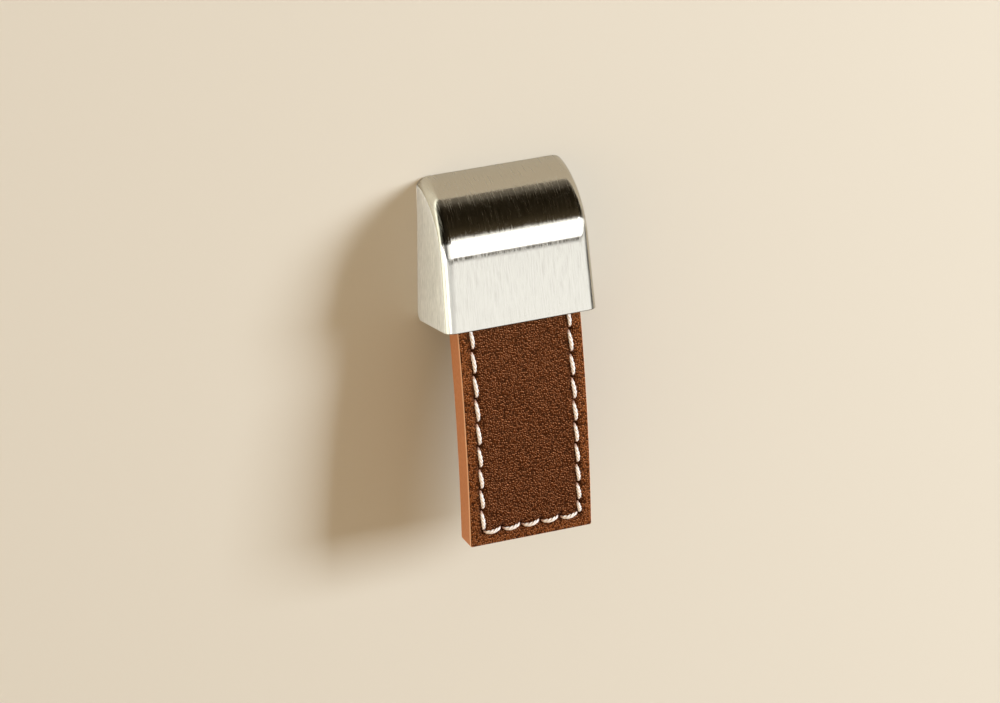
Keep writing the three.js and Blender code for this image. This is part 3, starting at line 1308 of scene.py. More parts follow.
    def openings(self) -> list[Piece]:
        """The slot that the tab comes out of, the boss's bore and the posts' bores.

        Returns:
            The tools that cut them.
        """
        size = self.sizes
        reach = size.tab_width / 2 + self.slot_side
        slot = block(
            "slot",
            (-reach, self.wall, -self.overrun),
            (reach, size.tab_back + self.slot_back, self.floor + self.slot_back),
        )
        place(slot, size.front)
        bore = bar("bore", self.bore_radius, -self.bore_depth, self.overrun)
        holes = [
            self.post_bar(side, self.post_bore_radius, self.post_bore_cover, size.tab_back + 1)
            for side in (-1, 1)
        ]
        return [slot, bore, *holes]

    def tidy(self, piece: Piece) -> None:
        """Merges doubles, and cuts the faces that the cuts left with many corners."""
        with editing(piece):
            pick_all()
            bpy.ops.mesh.remove_doubles(threshold=2e-7)
            pick(lambda f: len(f.verts) > 4)
            bpy.ops.mesh.quads_convert_to_tris(quad_method="BEAUTY", ngon_method="BEAUTY")

    def map_brushing(self, piece: Piece) -> None:
        """Writes the UV map "brush", u across the brushing and v along it, in decimetres.

        It also gives the sides their own finish, which is painted lighter.

        Args:
            piece: The hood.
        """
        size = self.sizes
        axis_y, axis_z = size.roof_axis
        points = points_of(piece)
        vertex, face = corner_table(piece)
        corner = points[vertex]
        turn = np.arctan2(corner[:, 2] - axis_z, axis_y - corner[:, 1])
        along = np.clip(turn, size.lean, math.pi / 2) * size.roof_radius
        foot = (corner[:, 2] - axis_z) * math.cos(size.lean)
        foot += (corner[:, 1] - axis_y) * math.sin(size.lean)
        back = corner[:, 1] - axis_y
        along += np.where(turn < size.lean, foot, 0) + np.where(turn > math.pi / 2, back, 0)
        flank = np.abs(face_normals(piece)[:, 0]) > self.flank_facing
        slots = np.empty(len(flank), np.int32)
        piece.data.polygons.foreach_get("material_index", slots)
        piece.data.polygons.foreach_set(
            "material_index", np.where(flank & (slots == 0), 1, slots).astype(np.int32)
        )
        side = flank[face]
        across = np.where(side, corner[:, 1] + self.flank_shift, corner[:, 0])
        along = np.where(side, corner[:, 2], along)
        write_uv(piece, "brush", np.c_[across, along] / 100)


# Leather tab and its seam


@dataclass
class Seam:
    """Where the needle went through: the holes of the tab's seam, in sewing order."""

    sizes: Sizes = SIZES
    side_inset: float = 1.95
    bottom_inset: float = 2.2
    top_margin: float = 1.6
    bottom_stitches: int = 5
    left_start: Span = (3.25, 3.1)
    right_start: Span = (1.9, 2.8)
    growth: float = 0.13
    longest: float = 3.55

    @property
    def reach(self) -> float:
        """How far the side columns lie from the middle."""
        return self.sizes.tab_width / 2 - self.side_inset

    def column(self, side: int, start: Span) -> list[Span]:
        """The holes up one side, above the corner hole.

        Args:
            side: -1 for the left column and 1 for the right.
            start: The lengths of its lowest two stitches.

        Returns:
            The x and the height above the mouth of each hole.
        """
        top = self.sizes.tab_held - self.top_margin
        lowest, grow = start
        up = self.bottom_inset - self.sizes.tab_free + lowest
        holes = []
        while up < top:
            holes.append((side * self.reach, up))
            up += grow
            grow = min(grow + self.growth, self.longest)
        return holes

    def holes(self) -> list[Span]:
        """All the holes, down the left, along the bottom and up the right.

        Returns:
            The x and the height above the mouth of each hole.
        """
        bottom = self.bottom_inset - self.sizes.tab_free
        row = [
            (self.reach * (2 * i / self.bottom_stitches - 1), bottom)
            for i in range(self.bottom_stitches + 1)
        ]
        left = reversed(self.column(-1, self.left_start))
        return [*left, *row, *self.column(1, self.right_start)]


@dataclass
class LeatherTab:
    """The tab: one thick strip of leather, pressed in along its seam."""

    sizes: Sizes = SIZES
    seam: Seam = field(default_factory=Seam)
    edge_radius: float = 0.24
    corner_radius: float = 0.35
    step: float = 0.155
    depth_step: float = 0.2
    rim_steps: tuple[float, ...] = (0.04, 0.09, 0.15, 0.22, 0.3, 0.4)
    channel: float = 0.11
    channel_width: float = 0.5
    dimple: float = 0.5
    dimple_width: float = 0.34
    pinch: float = 0.16
    pucker_long: float = 0.2
    pucker_wide: float = 0.7
    pucker_shade: float = 0.8
    swell: float = 0.05
    fall: float = 0.1
    ring: float = 0.9
    ring_width: float = 0.3
    needle: float = 0.36
    fall_width: float = 0.7
    margin_start: float = 0.3
    margin_run: float = 0.6
    skin: float = 0.13
    post_hole: float = 2.3

    def build(self) -> Piece:
        """Models and dresses the tab.

        Returns:
            The finished piece.
        """
        piece = self.blank()
        flat = self.rounded(self.graded(points_of(piece)))
        flat, painted_shade_mark = self.pressed(flat)
        self.map_surface(piece, flat, painted_shade_mark)
        move_points(piece, self.sizes.hang(flat))
        self.punch(piece)
        smooth(piece, 60, weigh=False)
        hand_over(piece, "leather", "leather_tab")
        return piece

    def blank(self) -> Piece:
        """Adds the flat strip and cuts it into small faces.

        Returns:
            The strip, its front at y = 0 and the mouth's plane at z = 0.
        """
        size = self.sizes
        half = size.tab_width / 2
        piece = block(
            "leather_strip", (-half, 0, -size.tab_free), (half, size.tab_thickness, size.tab_held)
        )
        for axis, count in enumerate(self.counts()):
            with editing(piece, Pick.EDGES):
                pick(
                    lambda e, a=axis: abs((e.verts[1].co - e.verts[0].co)[a])
                    > 0.9 * (e.verts[1].co - e.verts[0].co).length,
                    Pick.EDGES,
                )
                bpy.ops.mesh.subdivide(number_cuts=count - 1)
        return piece

    def counts(self) -> tuple[int, int, int]:
        """How many steps the strip is cut into along each axis."""
        size = self.sizes
        return (
            round(size.tab_width / self.step),
            round(size.tab_thickness / self.depth_step),
            round((size.tab_free + size.tab_held) / self.step),
        )

    def graded(self, flat: np.ndarray) -> np.ndarray:
        """Gathers the cuts near the strip's rims, where it is round.

        Args:
            flat: The evenly cut strip's points.

        Returns:
            The points in their new places.
        """
        rim = np.array([0, *self.rim_steps])
        out = flat.copy()
        for axis, count in enumerate(self.counts()):
            low, high = flat[:, axis].min(), flat[:, axis].max()
            index = np.round((flat[:, axis] - low) / (high - low) * count).astype(int)
            inner = np.linspace(rim[-1], high - low - rim[-1], count - 2 * len(self.rim_steps) + 1)
            stops = np.r_[rim[:-1], inner, (high - low - rim[:-1])[::-1]]
            out[:, axis] = low + stops[index]
        return out

    def rounded(self, flat: np.ndarray) -> np.ndarray:
        """Rounds the strip's long edges and its two lower corners.

        Args:
            flat: The strip's points.

        Returns:
            The rounded strip's points.
        """
        size = self.sizes
        middle = np.array([0, size.tab_thickness / 2, (size.tab_held - size.tab_free) / 2])
        half = np.array([
            size.tab_width / 2, size.tab_thickness / 2, (size.tab_held + size.tab_free) / 2
        ])
        out = flat - middle
        corner = self.corner_radius
        inner = np.clip(out, -(half - corner), half - corner)
        away = out - inner
        away[:, 1] = 0
        low = (out[:, 2] < 0) & (np.abs(away[:, 0]) > 0) & (np.abs(away[:, 2]) > 0)
        reach = np.maximum(np.abs(away[:, 0]), np.abs(away[:, 2]))
        length = np.hypot(away[:, 0], away[:, 2])
        scale = np.where(low, reach / np.maximum(length, 1e-9), 1)
        out[:, 0] = np.where(low, inner[:, 0] + away[:, 0] * scale, out[:, 0])
        out[:, 2] = np.where(low, inner[:, 2] + away[:, 2] * scale, out[:, 2])
        # how far each point lies inside the outline, and from the front or back face
        inside = self.distance_inside(out + middle)
        face_gap = half[1] - np.abs(out[:, 1])
        radius = self.edge_radius
        near = (inside < radius) & (face_gap < radius)
        a = radius - inside
        b = radius - face_gap
        length = np.hypot(a, b)
        pull = np.where(near & (length > 0), np.maximum(a, b) / np.maximum(length, 1e-9), 1)
        drop = np.where(near, a * (1 - pull), 0)
        sink = np.where(near, b * (1 - pull), 0)
        inward = self.inward(out + middle)
        out[:, 0] += inward[:, 0] * drop
        out[:, 2] += inward[:, 1] * drop
        out[:, 1] -= np.sign(out[:, 1]) * sink
        return out + middle

    def edge_gaps(self, flat: np.ndarray) -> tuple[np.ndarray, np.ndarray, np.ndarray]:
        """How far points lie from the strip's nearer side, its bottom and its top.

        Args:
            flat: The points.

        Returns:
            Three lists of distances.
        """
        size = self.sizes
        side = size.tab_width / 2 - np.abs(flat[:, 0])
        return side, flat[:, 2] + size.tab_free, size.tab_held - flat[:, 2]

    def distance_inside(self, flat: np.ndarray) -> np.ndarray:
        """How far points lie inside the strip's outline, seen from the front.

        Args:
            flat: The points.

        Returns:
            One distance for each.
        """
        side, bottom, top = self.edge_gaps(flat)
        radius = self.corner_radius
        corner = radius - np.hypot(
            np.maximum(radius - side, 0), np.maximum(radius - bottom, 0)
        )
        in_corner = (side < radius) & (bottom < radius)
        return np.minimum(np.where(in_corner, corner, np.minimum(side, bottom)), top)

    def inward(self, flat: np.ndarray) -> np.ndarray:
        """The direction away from the nearest point of the outline.

        Args:
            flat: The points.

        Returns:
            One row of x and height for each.
        """
        side, bottom, top = self.edge_gaps(flat)
        radius = self.corner_radius
        in_corner = (side < radius) & (bottom < radius)
        by_side = (side <= bottom) & (side <= top)
        by_bottom = (bottom < side) & (bottom <= top)
        x = np.where(in_corner, radius - side, np.where(by_side, 1.0, 0))
        z = np.where(in_corner, radius - bottom, np.where(by_bottom, 1.0, 0))
        z = np.where(~in_corner & (top < side) & (top < bottom), -1.0, z)
        length = np.maximum(np.hypot(x, z), 1e-9)
        return np.c_[-np.sign(flat[:, 0]) * x / length, z / length]

    def pressed(self, flat: np.ndarray) -> tuple[np.ndarray, np.ndarray]:
        """Presses both faces in along the seam, deepest at the needle holes.

        Args:
            flat: The strip's points.

        Returns:
            The points after pressing, and how hard each was pressed at a needle hole or pucker,
            from 0 to 1; the material paints shade there by it.
        """
        holes = np.array(self.seam.holes())
        gap = np.full(len(flat), np.inf)
        spot = flat[:, [0, 2]]
        for start, end in zip(holes[:-1], holes[1:]):
            run = end - start
            t = np.clip(((spot - start) @ run) / (run @ run), 0, 1)
            gap = np.minimum(gap, np.hypot(*(spot - start - t[:, None] * run).T))
        dent = self.channel * np.exp(-((gap / self.channel_width) ** 2))
        painted_shade_mark = np.zeros(len(flat))
        for index, hole in enumerate(holes):
            ahead = holes[min(index + 1, len(holes) - 1)] - holes[max(index - 1, 0)]
            ahead /= np.hypot(*ahead)
            away = spot - hole
            along = away @ ahead
            across = away @ np.array([-ahead[1], ahead[0]])
            r2 = along**2 + across**2
            pucker = np.exp(-((along / self.pucker_long) ** 2) - (across / self.pucker_wide) ** 2)
            dent += self.dimple * np.exp(-r2 / self.dimple_width**2) + self.pinch * pucker
            dent -= self.swell * np.exp(-(((np.sqrt(r2) - self.ring) / self.ring_width) ** 2))
            # near the holes and puckers the leather later gets painted shade, through the "press"
            # map
            mark = np.maximum(np.exp(-r2 / self.needle**2), self.pucker_shade * pucker)
            painted_shade_mark = np.maximum(painted_shade_mark, mark)
        dent += self.fall * np.exp(-self.distance_inside(flat) / self.fall_width)
        half = self.sizes.tab_thickness / 2
        depth = flat[:, 1] - half
        share = np.clip(np.abs(depth) / half, 0, 1) ** 3
        out = flat.copy()
        out[:, 1] -= np.sign(depth) * dent * share
        return out, painted_shade_mark * share

    def map_surface(self, piece: Piece, flat: np.ndarray, painted_shade_mark: np.ndarray) -> None:
        """Gives the faces their materials and the UV maps "hide", "press" and "edge".

        Args:
            piece: The strip.
            flat: Its points while it is still flat.
            painted_shade_mark: How hard each point is pressed at a needle hole or pucker, which
                sets its painted shade.
        """
        piece.data.materials.append(GrainLeather().material())
        piece.data.materials.append(CutEdge().material())
        vertex, face = corner_table(piece)
        corner = flat[vertex]
        gap = self.distance_inside(corner)
        count = np.bincount(face)
        depth = np.bincount(face, weights=corner[:, 1]) / count
        inside = np.bincount(face, weights=gap) / count
        rim = self.skin
        cut = (inside < rim) & (depth > rim) & (depth < self.sizes.tab_thickness - rim)
        piece.data.polygons.foreach_set("material_index", cut.astype(np.int32))
        write_uv(piece, "hide", corner[:, [0, 2]] / 100)
        margin = (self.seam.side_inset - self.margin_start - gap) / self.margin_run
        # the u of "press" sets the painted shade at the needle holes and puckers
        write_uv(piece, "press", np.c_[painted_shade_mark[vertex], np.clip(margin, 0, 1)])
        on_side = np.abs(corner[:, 0]) > self.sizes.tab_width / 2 - 1
        run = np.where(on_side, corner[:, 2], corner[:, 0])
        write_uv(piece, "edge", np.c_[run, corner[:, 1]] / 100)

    def punch(self, piece: Piece) -> None:
        """Punches the two holes that the hood's posts go through."""
        hood, size = Hood(), self.sizes
        for side in (-1, 1):
            tool = hood.post_bar(side, self.post_hole, size.tab_front - 1, size.tab_back + 1)
            carve(piece, tool)


@dataclass
class Stitching:
    """One thread of the seam: its stitches on one face of the tab."""

    name: str
    node: str
    face: int
    sizes: Sizes = SIZES
    seam: Seam = field(default_factory=Seam)
    ply_radius: float = 0.134
    ply_offset: float = 0.138
    turns: float = 1.5
    rise: float = 0.15
    dive: float = 0.62
    slant: float = -0.12
    sag: float = 0.16
    rest: float = 0.42
    thin_end: float = 0.5
    fullness: float = 0.62
    end_gap: float = 0.04
    flattening: float = 0.92
    steps: int = 44
    plies: int = 3
    ply_sides: int = 10
    tip: float = 0.02

    def build(self) -> Piece:
        """Models and dresses the thread.

        Returns:
            The finished piece.
        """
        cord = self.twisted_cord()
        straight = points_of(cord)
        holes = np.array(self.seam.holes())
        copies = []
        for index, (start, end) in enumerate(zip(holes[:-1], holes[1:])):
            copy = bpy.data.objects.new(f"stitch_{index}", cord.data.copy())
            bpy.context.scene.collection.objects.link(copy)
            move_points(copy, self.sizes.hang(self.laid(straight, start, end)))
            copies.append(copy)
        bpy.data.objects.remove(cord)
        piece = joined(*copies)
        piece.name = self.name
        with editing(piece):
            turn_outwards()
        smooth(piece, 70, weigh=False)
        hand_over(piece, "thread", self.node)
        return piece

    def twisted_cord(self) -> Piece:
        """Models one straight stitch of twisted plies, from x = 0 to x = 1.

        Returns:
            The cord, with its UV map "ply".
        """
        deselect()
        bpy.ops.mesh.primitive_circle_add(
            vertices=self.ply_sides,
            radius=self.ply_radius * MM,
            location=(0, self.ply_offset * MM, 0),
            rotation=(0, math.pi / 2, 0),
        )
        cord = added("cord")
        with editing(cord, Pick.EDGES):
            pick_all()
            bpy.ops.mesh.spin(
                steps=self.plies, dupli=True, angle=math.tau, center=(0, 0, 0), axis=(1, 0, 0)
            )
            pick_all()
            bpy.ops.mesh.remove_doubles(threshold=1e-7)
        modify(
            cord, "SCREW", axis="X", angle=math.tau * self.turns, screw_offset=MM,
            steps=self.steps, render_steps=self.steps, use_merge_vertices=False,
        )
        with editing(cord, Pick.EDGES):
            for end in (0, MM):
                pick(
                    lambda e, x=end: e.is_boundary and all(abs(v.co.x - x) < 1e-8 for v in e.verts),
                    Pick.EDGES,
                )
                extrude((end - MM / 2) * self.tip, 0, 0)
                bpy.ops.mesh.merge(type="COLLAPSE")
            turn_outwards()
        cord.data.materials.append(SewingThread().material())
        self.map_plies(cord)
        return cord

    def map_plies(self, cord: Piece) -> None:
        """Writes the UV map "ply": u around the cord, untwisted, and v along it.

        Args:
            cord: The straight cord.
        """
        points = points_of(cord)
        vertex, _ = corner_table(cord)
        corner = points[vertex]
        around = np.arctan2(corner[:, 2], corner[:, 1]) - corner[:, 0] * math.tau * self.turns
        write_uv(cord, "ply", np.c_[np.cos(around) * 2 + 4, np.clip(corner[:, 0], 0, 1)])

    def laid(self, straight: np.ndarray, start: np.ndarray, end: np.ndarray) -> np.ndarray:
        """Lays the straight cord from one needle hole to the next.

        Args:
            straight: The cord's points.
            start: The first hole, as x and height.
            end: The second hole.

        Returns:
            The stitch's points on the flat tab.
        """
        run = end - start
        length = float(np.hypot(*run))
        ahead = run / length
        aside = np.array([-ahead[1], ahead[0]])
        t = np.clip(straight[:, 0], 0, 1)
        arch = np.sin(math.pi * t)
        level = self.dive - (self.dive + self.rise) * arch**self.rest
        # the cord thins where it dives into the leather
        swell = self.thin_end + self.fullness * arch**0.7
        reach = length * (self.end_gap + (1 - 2 * self.end_gap) * t)
        lean = self.slant * np.cos(math.pi * t) * self.face
        droop = -self.sag * abs(ahead[0]) * arch * np.sign(aside[1])
        wide = straight[:, 1] * swell + lean + droop
        deep = straight[:, 2] * swell * self.flattening + level
        spot = start + reach[:, None] * ahead + wide[:, None] * aside
        depth = deep if self.face > 0 else self.sizes.tab_thickness - deep
        return np.c_[spot[:, 0], depth, spot[:, 1]]


# Clamp and screws


@dataclass
class ClampPlate:
    """The stamped plate behind the tab's top."""

    sizes: Sizes = SIZES
    width: float = 13.2
    bottom: float = 1.6
    top: float = 6.8
    front: float = 5.75
    thickness: float = 1.0
    corner: float = 0.8
    corner_steps: int = 6
    edge: float = 0.12
    edge_steps: int = 2
    sharp: float = 1.2
    hole: float = 1.4

    def build(self) -> Piece:
        """Models and dresses the plate.

        Returns:
            The finished piece.
        """
        half = self.width / 2
        piece = block(
            "clamp_plate_steel",
            (-half, self.front, self.bottom),
            (half, self.front + self.thickness, self.top),
        )
        with editing(piece, Pick.EDGES):
            pick(
                lambda e: abs((e.verts[0].co - e.verts[1].co).y) > 0.9 * self.thickness * MM,
                Pick.EDGES,
            )
            bevel(self.corner, self.corner_steps)
        for side in (-1, 1):
            tool = bar("drill", self.hole, self.front - 1, self.front + self.thickness + 1, 40)
            place(tool, self.sizes.post(side))
            carve(piece, tool)
        with editing(piece, Pick.EDGES):
            pick(lambda e: e.is_manifold and e.calc_face_angle(0) > self.sharp, Pick.EDGES)
            bevel(self.edge, self.edge_steps)
        place(piece, self.sizes.front)
        piece.data.materials.append(PlatedSteel("plate_steel").material())
        smooth(piece, 30)
        hand_over(piece, "steel", "clamp_plate")
        return piece


@dataclass
class PanScrew:
    """A pan-head machine screw along Y, its tip at y = 0."""

    name: str
    node: str
    diameter: float
    pitch: float
    length: float
    head_diameter: float
    head_height: float
    home: Matrix
    rim: float = 0.45
    crown: float = 0.3
    sides: int = 40
    dome_rings: int = 6
    recess_depth: float = 0.62
    recess_width: float = 0.16
    recess_length: float = 0.56
    recess_taper: Span = (0.6, 0.8)
    thread_depth: float = 0.61
    flank: float = 0.37
    flat: float = 0.13
    thread_start: float = 0.2
    turn_steps: int = 24

    def build(self) -> Piece:
        """Models and dresses the screw.

        Returns:
            The finished piece.
        """
        head = self.head()
        shank = self.shank()
        joined(head, shank)
        head.name = self.name
        place(head, self.home)
        head.data.materials.clear()
        head.data.materials.append(PlatedSteel(f"{self.name}_steel").material())
        smooth(head, 38)
        hand_over(head, "steel", self.node)
        return head

    def head(self) -> Piece:
        """Models the head: a rim, a dome of a few rings and a cross recess.

        Returns:
            The head.
        """
        radius = self.head_diameter / 2
        rim = self.head_height * self.rim
        piece = bar("screw_head", radius, self.length, self.length + rim, self.sides)
        rise = self.head_height - rim
        with editing(piece):
            pick(lambda f: f.normal.y > 0.9)
            width, level = 1.0, 0.0
            for step in range(1, self.dome_rings + 1):
                turn = math.pi / 2 * step / self.dome_rings
                wider = self.crown + (1 - self.crown) * math.cos(turn)
                higher = rise * math.sin(turn)
                extrude(0, (higher - level) * MM, 0)
                factor = wider / width
                bpy.ops.transform.resize(
                    value=(factor, 1, factor),
                    center_override=(0, (self.length + rim + higher) * MM, 0),
                )
                width, level = wider, higher
        top = self.length + self.head_height
        deep = self.head_height * self.recess_depth
        blade = self.head_diameter * self.recess_width / 2
        span = self.head_diameter * self.recess_length / 2
        long, wide = self.recess_taper
        for across, up, taper in ((span, blade, (long, 1, wide)), (blade, span, (wide, 1, long))):
            tool = block("recess", (-across, top - deep, -up), (across, top + 0.5, up))
            with editing(tool):
                pick(lambda f: f.normal.y < -0.9)
                bpy.ops.transform.resize(value=taper, center_override=(0, (top - deep) * MM, 0))
            carve(piece, tool)
        return piece

    def shank(self) -> Piece:
        """Models the threaded shank: one step of the thread's outline, screwed along Y.

        Returns:
            The shank, closed at both ends.
        """
        crest = self.diameter / 2
        root = crest - self.thread_depth * self.pitch
        deselect()
        bpy.ops.mesh.primitive_plane_add(size=0.2 * MM, location=(root * MM, 0, 0))
        piece = added("shank")
        rise = crest - root
        with editing(piece, Pick.VERTS):
            pick_all()
            bpy.ops.mesh.merge(type="CENTER")
            for out in (rise, -rise):
                extrude(out * MM, self.flank * self.pitch * MM, 0)
                extrude(0, self.flat * self.pitch * MM, 0)
        turns = int((self.length - self.thread_start) / self.pitch)
        modify(
            piece, "SCREW", axis="Y", angle=math.tau, screw_offset=self.pitch * MM,
            iterations=turns, steps=self.turn_steps, render_steps=self.turn_steps,
            use_merge_vertices=True, merge_threshold=1e-7,
        )
        with editing(piece, Pick.EDGES):
            pick_all()
            bpy.ops.mesh.remove_doubles(threshold=1e-7)
            bpy.ops.mesh.select_all(action="DESELECT")
            bpy.ops.mesh.select_non_manifold(
                use_wire=False, use_multi_face=False, use_non_contiguous=False, use_verts=False
            )
            bpy.ops.mesh.fill_holes(sides=0)
            turn_outwards()
        return piece


# Studio


@dataclass
class Studio:
    """The plain wall, the softbox, the world and the camera.

    The hole and the camera's place are in millimetres, the wall and the softbox in metres. The
    world's pitches are in degrees in its bands and in radians elsewhere.
    """

    sizes: Sizes = SIZES
    hole_half: float = 11.05
    hole_low: float = 0.42
    hole_high: float = 21.3
    hole_corner: float = 1.45
    hole_corner_steps: int = 6
    wall_width: float = 8.0
    wall_gap: float = 2e-5
    key_radiance: float = 36.0
    key_left: float = 0.95
    key_right: float = 2.0
    key_low: float = 0.0
    key_high: float = 0.62
    key_distance: float = 0.8
    key_colour: Point = (0.88, 1.0, 1.17)
    world_level: float = 0.9
    softbox_slope: float = 26.0
    slope_rise: Span = (0.0, 0.4)
    slope_fade: Span = (1.25, 0.7)
    slope_side: Span = (0.14, 0.44)
    slope_shares: Span = (-0.2, 0.1)
    above_start: Span = (-0.045, -0.01)
    above_end: Span = (1.36, 1.25)
    far_left: Span = (-0.6, -0.7)
    pale: Point = srgb(240, 231, 214)
    warm: Point = (1.0, 0.76, 0.4)
    fill_colour: Point = (1.0, 0.81, 0.58)
    fill: tuple[Span, ...] = ((-1.0, 1.4), (-0.6, 0.82), (0.0, 0.4), (1.0, 0.26))
    bands: tuple[Point, ...] = (
        (-180, 0.85, 0.4),
        (-130, 0.74, 0.3),
        (-90, 0.33, 0.0),
        (-34, 0.2, 0.0),
        (-27, 0.22, 0.0),
        (-20, 0.7, 0.0),
        (-13, 1.92, -0.22),
        (-2.75, 1.92, -0.22),
        (-2.55, 0.06, 1.0),
        (0.35, 0.06, 1.0),
        (0.5, 2.6, -0.2),
        (24.8, 2.6, -0.2),
        (25.4, 0.15, 0.5),
        (30, 0.06, 0.9),
        (42, 0.022, 1.0),
        (60, 0.012, 1.0),
        (72, 0.012, 1.0),
        (76, 0.04, 0.8),
        (84, 0.235, 0.4),
        (90, 0.27, 0.4),
        (180, 0.45, 0.4),
    )
    sides_below: tuple[Span, ...] = (
        (-1.0, 9.0),
        (-0.97, 9.0),
        (-0.93, 6.5),
        (-0.87, 3.0),
        (-0.8, 1.7),
        (-0.76, 1.3),
        (-0.71, 0.74),
        (-0.45, 0.7),
        (-0.1, 0.94),
        (0.1, 1.0),
        (0.75, 1.0),
        (0.93, 0.65),
        (1.0, 0.4),
    )
    sides_above: tuple[Span, ...] = (
        (-1.0, 0.5),
        (-0.7, 0.06),
        (-0.56, 0.06),
        (-0.42, 0.8),
        (0.1, 1.0),
        (0.2, 3.2),
        (0.35, 0.7),
        (0.5, 3.2),
        (0.62, 1.0),
        (1.0, 1.0),
    )
    focal: float = 170.61
    sensor: float = 36.0
    eye: Point = (-226.10, -571.72, 256.08)
    right: Point = (0.92627, -0.37645, -0.01760)
    up: Point = (0.16945, 0.37432, 0.91170)

    def build(self) -> None:
        """Sets up the wall, the lights, the world and the camera."""
        self.wall()
        self.key_light()
        self.world()
        self.camera()
        log.info("studio is up")

    def wall(self) -> None:
        """Adds the wall, open just inside the outline of the hood's back.

        A square of 2 m is left in the plane's middle and sized to the opening. Its corners are
        rounded and its face, the only one with so many corners, goes.
        """
        low = self.hole_low - self.sizes.screw_height
        high = self.hole_high - self.sizes.screw_height
        centre = (low + high) / 2 * MM
        deselect()
        bpy.ops.mesh.primitive_plane_add(
            size=self.wall_width, location=(0, self.wall_gap, centre), rotation=(math.pi / 2, 0, 0)
        )
        wall = added("wall")
        with editing(wall):
            pick_all()
            bpy.ops.mesh.inset(thickness=self.wall_width / 2 - 1)
            bpy.ops.transform.resize(
                value=(self.hole_half * MM, 1, (high - low) / 2 * MM),
                center_override=(0, 0, centre),
            )
        with editing(wall, Pick.VERTS):
            pick(lambda v: abs(v.co.x) < 1, Pick.VERTS)
            bevel(self.hole_corner, self.hole_corner_steps, Pick.VERTS)
        with editing(wall):
            pick(lambda f: len(f.verts) > 3 * self.hole_corner_steps)
            bpy.ops.mesh.delete(type="FACE")
        wall.data.materials.append(WallPaint().material())

    def key_light(self) -> None:
        """Adds the softbox, in front and well to the right; the world stands in for its shine."""
        low, high = self.key_low, self.key_high
        wide, tall = self.key_right - self.key_left, high - low
        data = bpy.data.lights.new("softbox", "AREA")
        data.shape = "RECTANGLE"
        data.size = wide
        data.size_y = tall
        data.color = self.key_colour
        data.energy = self.key_radiance * math.pi * wide * tall
        lamp = bpy.data.objects.new("softbox", data)
        lamp.location = ((self.key_left + self.key_right) / 2, -self.key_distance, (low + high) / 2)
        lamp.rotation_euler = (math.pi / 2, 0, 0)
        lamp.visible_camera = False
        lamp.visible_glossy = False
        bpy.context.scene.collection.objects.link(lamp)

    def world(self) -> None:
        """Sets the surroundings: pale to the eye, with the studio's bands in reflections."""
        world = bpy.data.worlds.new("studio")
        bpy.context.scene.world = world
        world.use_nodes = True
        world.node_tree.nodes.clear()
        board = Board.on(world.node_tree)
        parts = board.split(board.node("TexCoord").outputs["Generated"])
        across = board.fit(parts["X"], (-1.0, 1.0))
        mirrored = board.node(
            "Background", {0: self.reflections(board, parts, across), 1: 2.0 * self.world_level}
        )
        fill = board.ramp(
            across, [((x + 1) / 2, tuple(v * c for c in self.fill_colour)) for x, v in self.fill]
        )
        soft = board.node("Background", {0: fill})
        seen = board.node("Background", {0: (*self.pale, 1)})
        path = board.node("LightPath").outputs
        inner = board.node("MixShader", {0: path["Is Glossy Ray"], 1: soft, 2: mirrored})
        choose = board.node("MixShader", {0: path["Is Camera Ray"], 1: inner, 2: seen})
        board.node("OutputWorld", {0: choose})

    def reflections(self, board: Board, parts: Any, across: Any) -> Any:
        """What the nickel mirrors: bands by pitch, dimmed or lit from left to right.

        Pitch is the angle about X, in radians: 0 straight ahead, rising to the zenith. The
        bright band's upper edge slopes, as the softbox's does.

        Args:
            board: The world's node board.
            parts: The sockets of the direction's X, Y and Z.
            across: X from left to right, as 0 to 1.

        Returns:
            The socket of half the light's colour.
        """
        front = board.calculate("MULTIPLY", parts["Y"], -1.0)
        pitch = board.calculate("ARCTAN2", parts["Z"], front)
        rising = board.fit(pitch, self.slope_rise)
        fading = board.fit(pitch, self.slope_fade)
        aside = board.fit(parts["X"], self.slope_side, *self.slope_shares)
        slope = board.calculate("MULTIPLY", board.calculate("MULTIPLY", rising, fading), aside)
        pitch = board.sum(pitch, slope, -math.radians(self.softbox_slope))
        turn = board.fit(pitch, (-math.pi, math.pi))
        bands = board.ramp(turn, [((p + 180) / 360, self.tinted(v, w)) for p, v, w in self.bands])
        below = board.ramp(across, [((x + 1) / 2, v / 2) for x, v in self.sides_below])
        above = board.ramp(across, [((x + 1) / 2, v / 2) for x, v in self.sides_above])
        risen = board.fit(pitch, self.above_start)
        fallen = board.fit(pitch, self.above_end)
        edge = board.fit(parts["X"], self.far_left)
        overhead = board.calculate("MAXIMUM", fallen, edge)
        share = board.calculate("MULTIPLY", risen, overhead)
        return board.blend(1.0, bands, board.blend(share, below, above), "MULTIPLY")

    def tinted(self, level: float, warmth: float) -> Point:
        """A grey level warmed by a share."""
        return tuple(level * (1 - warmth * (1 - c)) for c in self.warm)

    def camera(self) -> None:
        """Adds the camera where the photograph was taken from."""
        data = bpy.data.cameras.new("camera")
        data.sensor_width = self.sensor
        data.lens = self.focal
        data.clip_start = 0.01
        data.clip_end = 20
        camera = bpy.data.objects.new("camera", data)
        right, up = Vector(self.right), Vector(self.up)
        back = right.cross(up)
        turn = Matrix((right, up, back)).transposed().to_4x4()
        camera.matrix_world = Matrix.Translation(Vector(self.eye) * MM) @ turn
        bpy.context.scene.collection.objects.link(camera)
        bpy.context.scene.camera = camera
        bpy.context.scene.view_settings.view_transform = "Standard"


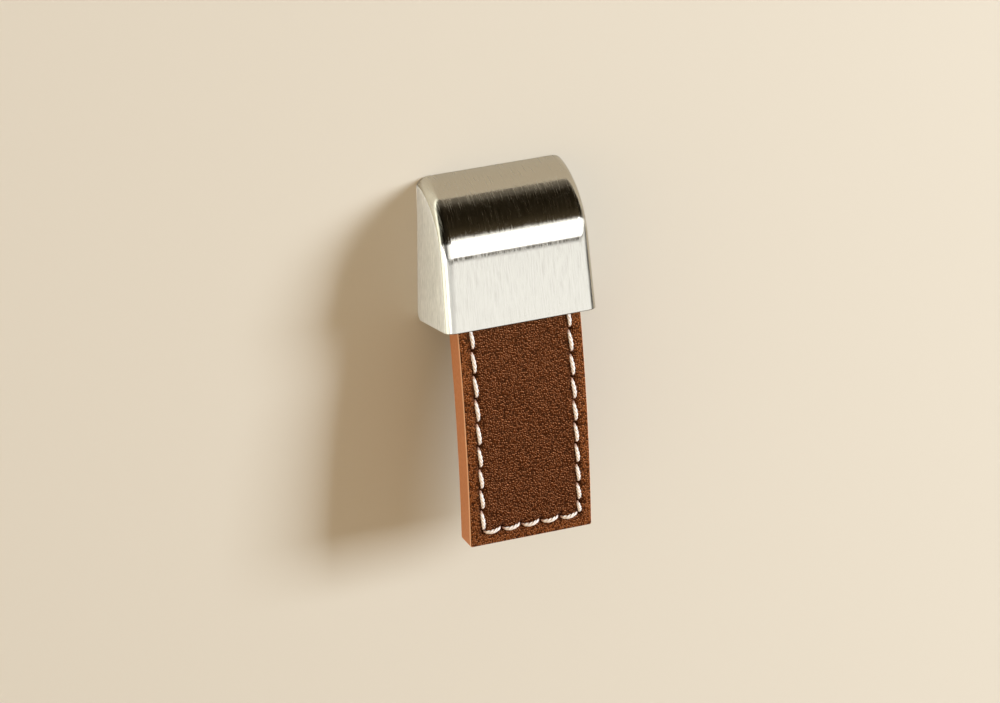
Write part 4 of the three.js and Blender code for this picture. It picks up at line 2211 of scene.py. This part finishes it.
def main() -> None:
    """Builds the knob's pieces in order, then the studio around them."""
    logging.basicConfig(level=logging.INFO, format="%(name)s: %(message)s")
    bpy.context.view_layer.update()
    Hood().build()
    LeatherTab().build()
    Stitching("front_seam", "front_thread", 1).build()
    Stitching("back_seam", "back_thread", -1).build()
    ClampPlate().build()
    for side, word in ((-1, "left"), (1, "right")):
        PanScrew(
            name=f"clamp_screw_{word}_steel",
            node=f"clamp_screw_{word}",
            diameter=2.5,
            pitch=0.45,
            length=5.05,
            head_diameter=4.6,
            head_height=1.6,
            home=SIZES.front @ SIZES.post(side, 2.0),
        ).build()
    PanScrew(
        name="fixing_screw_steel",
        node="fixing_screw",
        diameter=4.0,
        pitch=0.7,
        length=25.05,
        head_diameter=8.6,
        head_height=2.6,
        home=Matrix.Translation(Vector((0, -7.05, 0)) * MM),
    ).build()
    Studio().build()


if __name__ == "__main__":
    main()
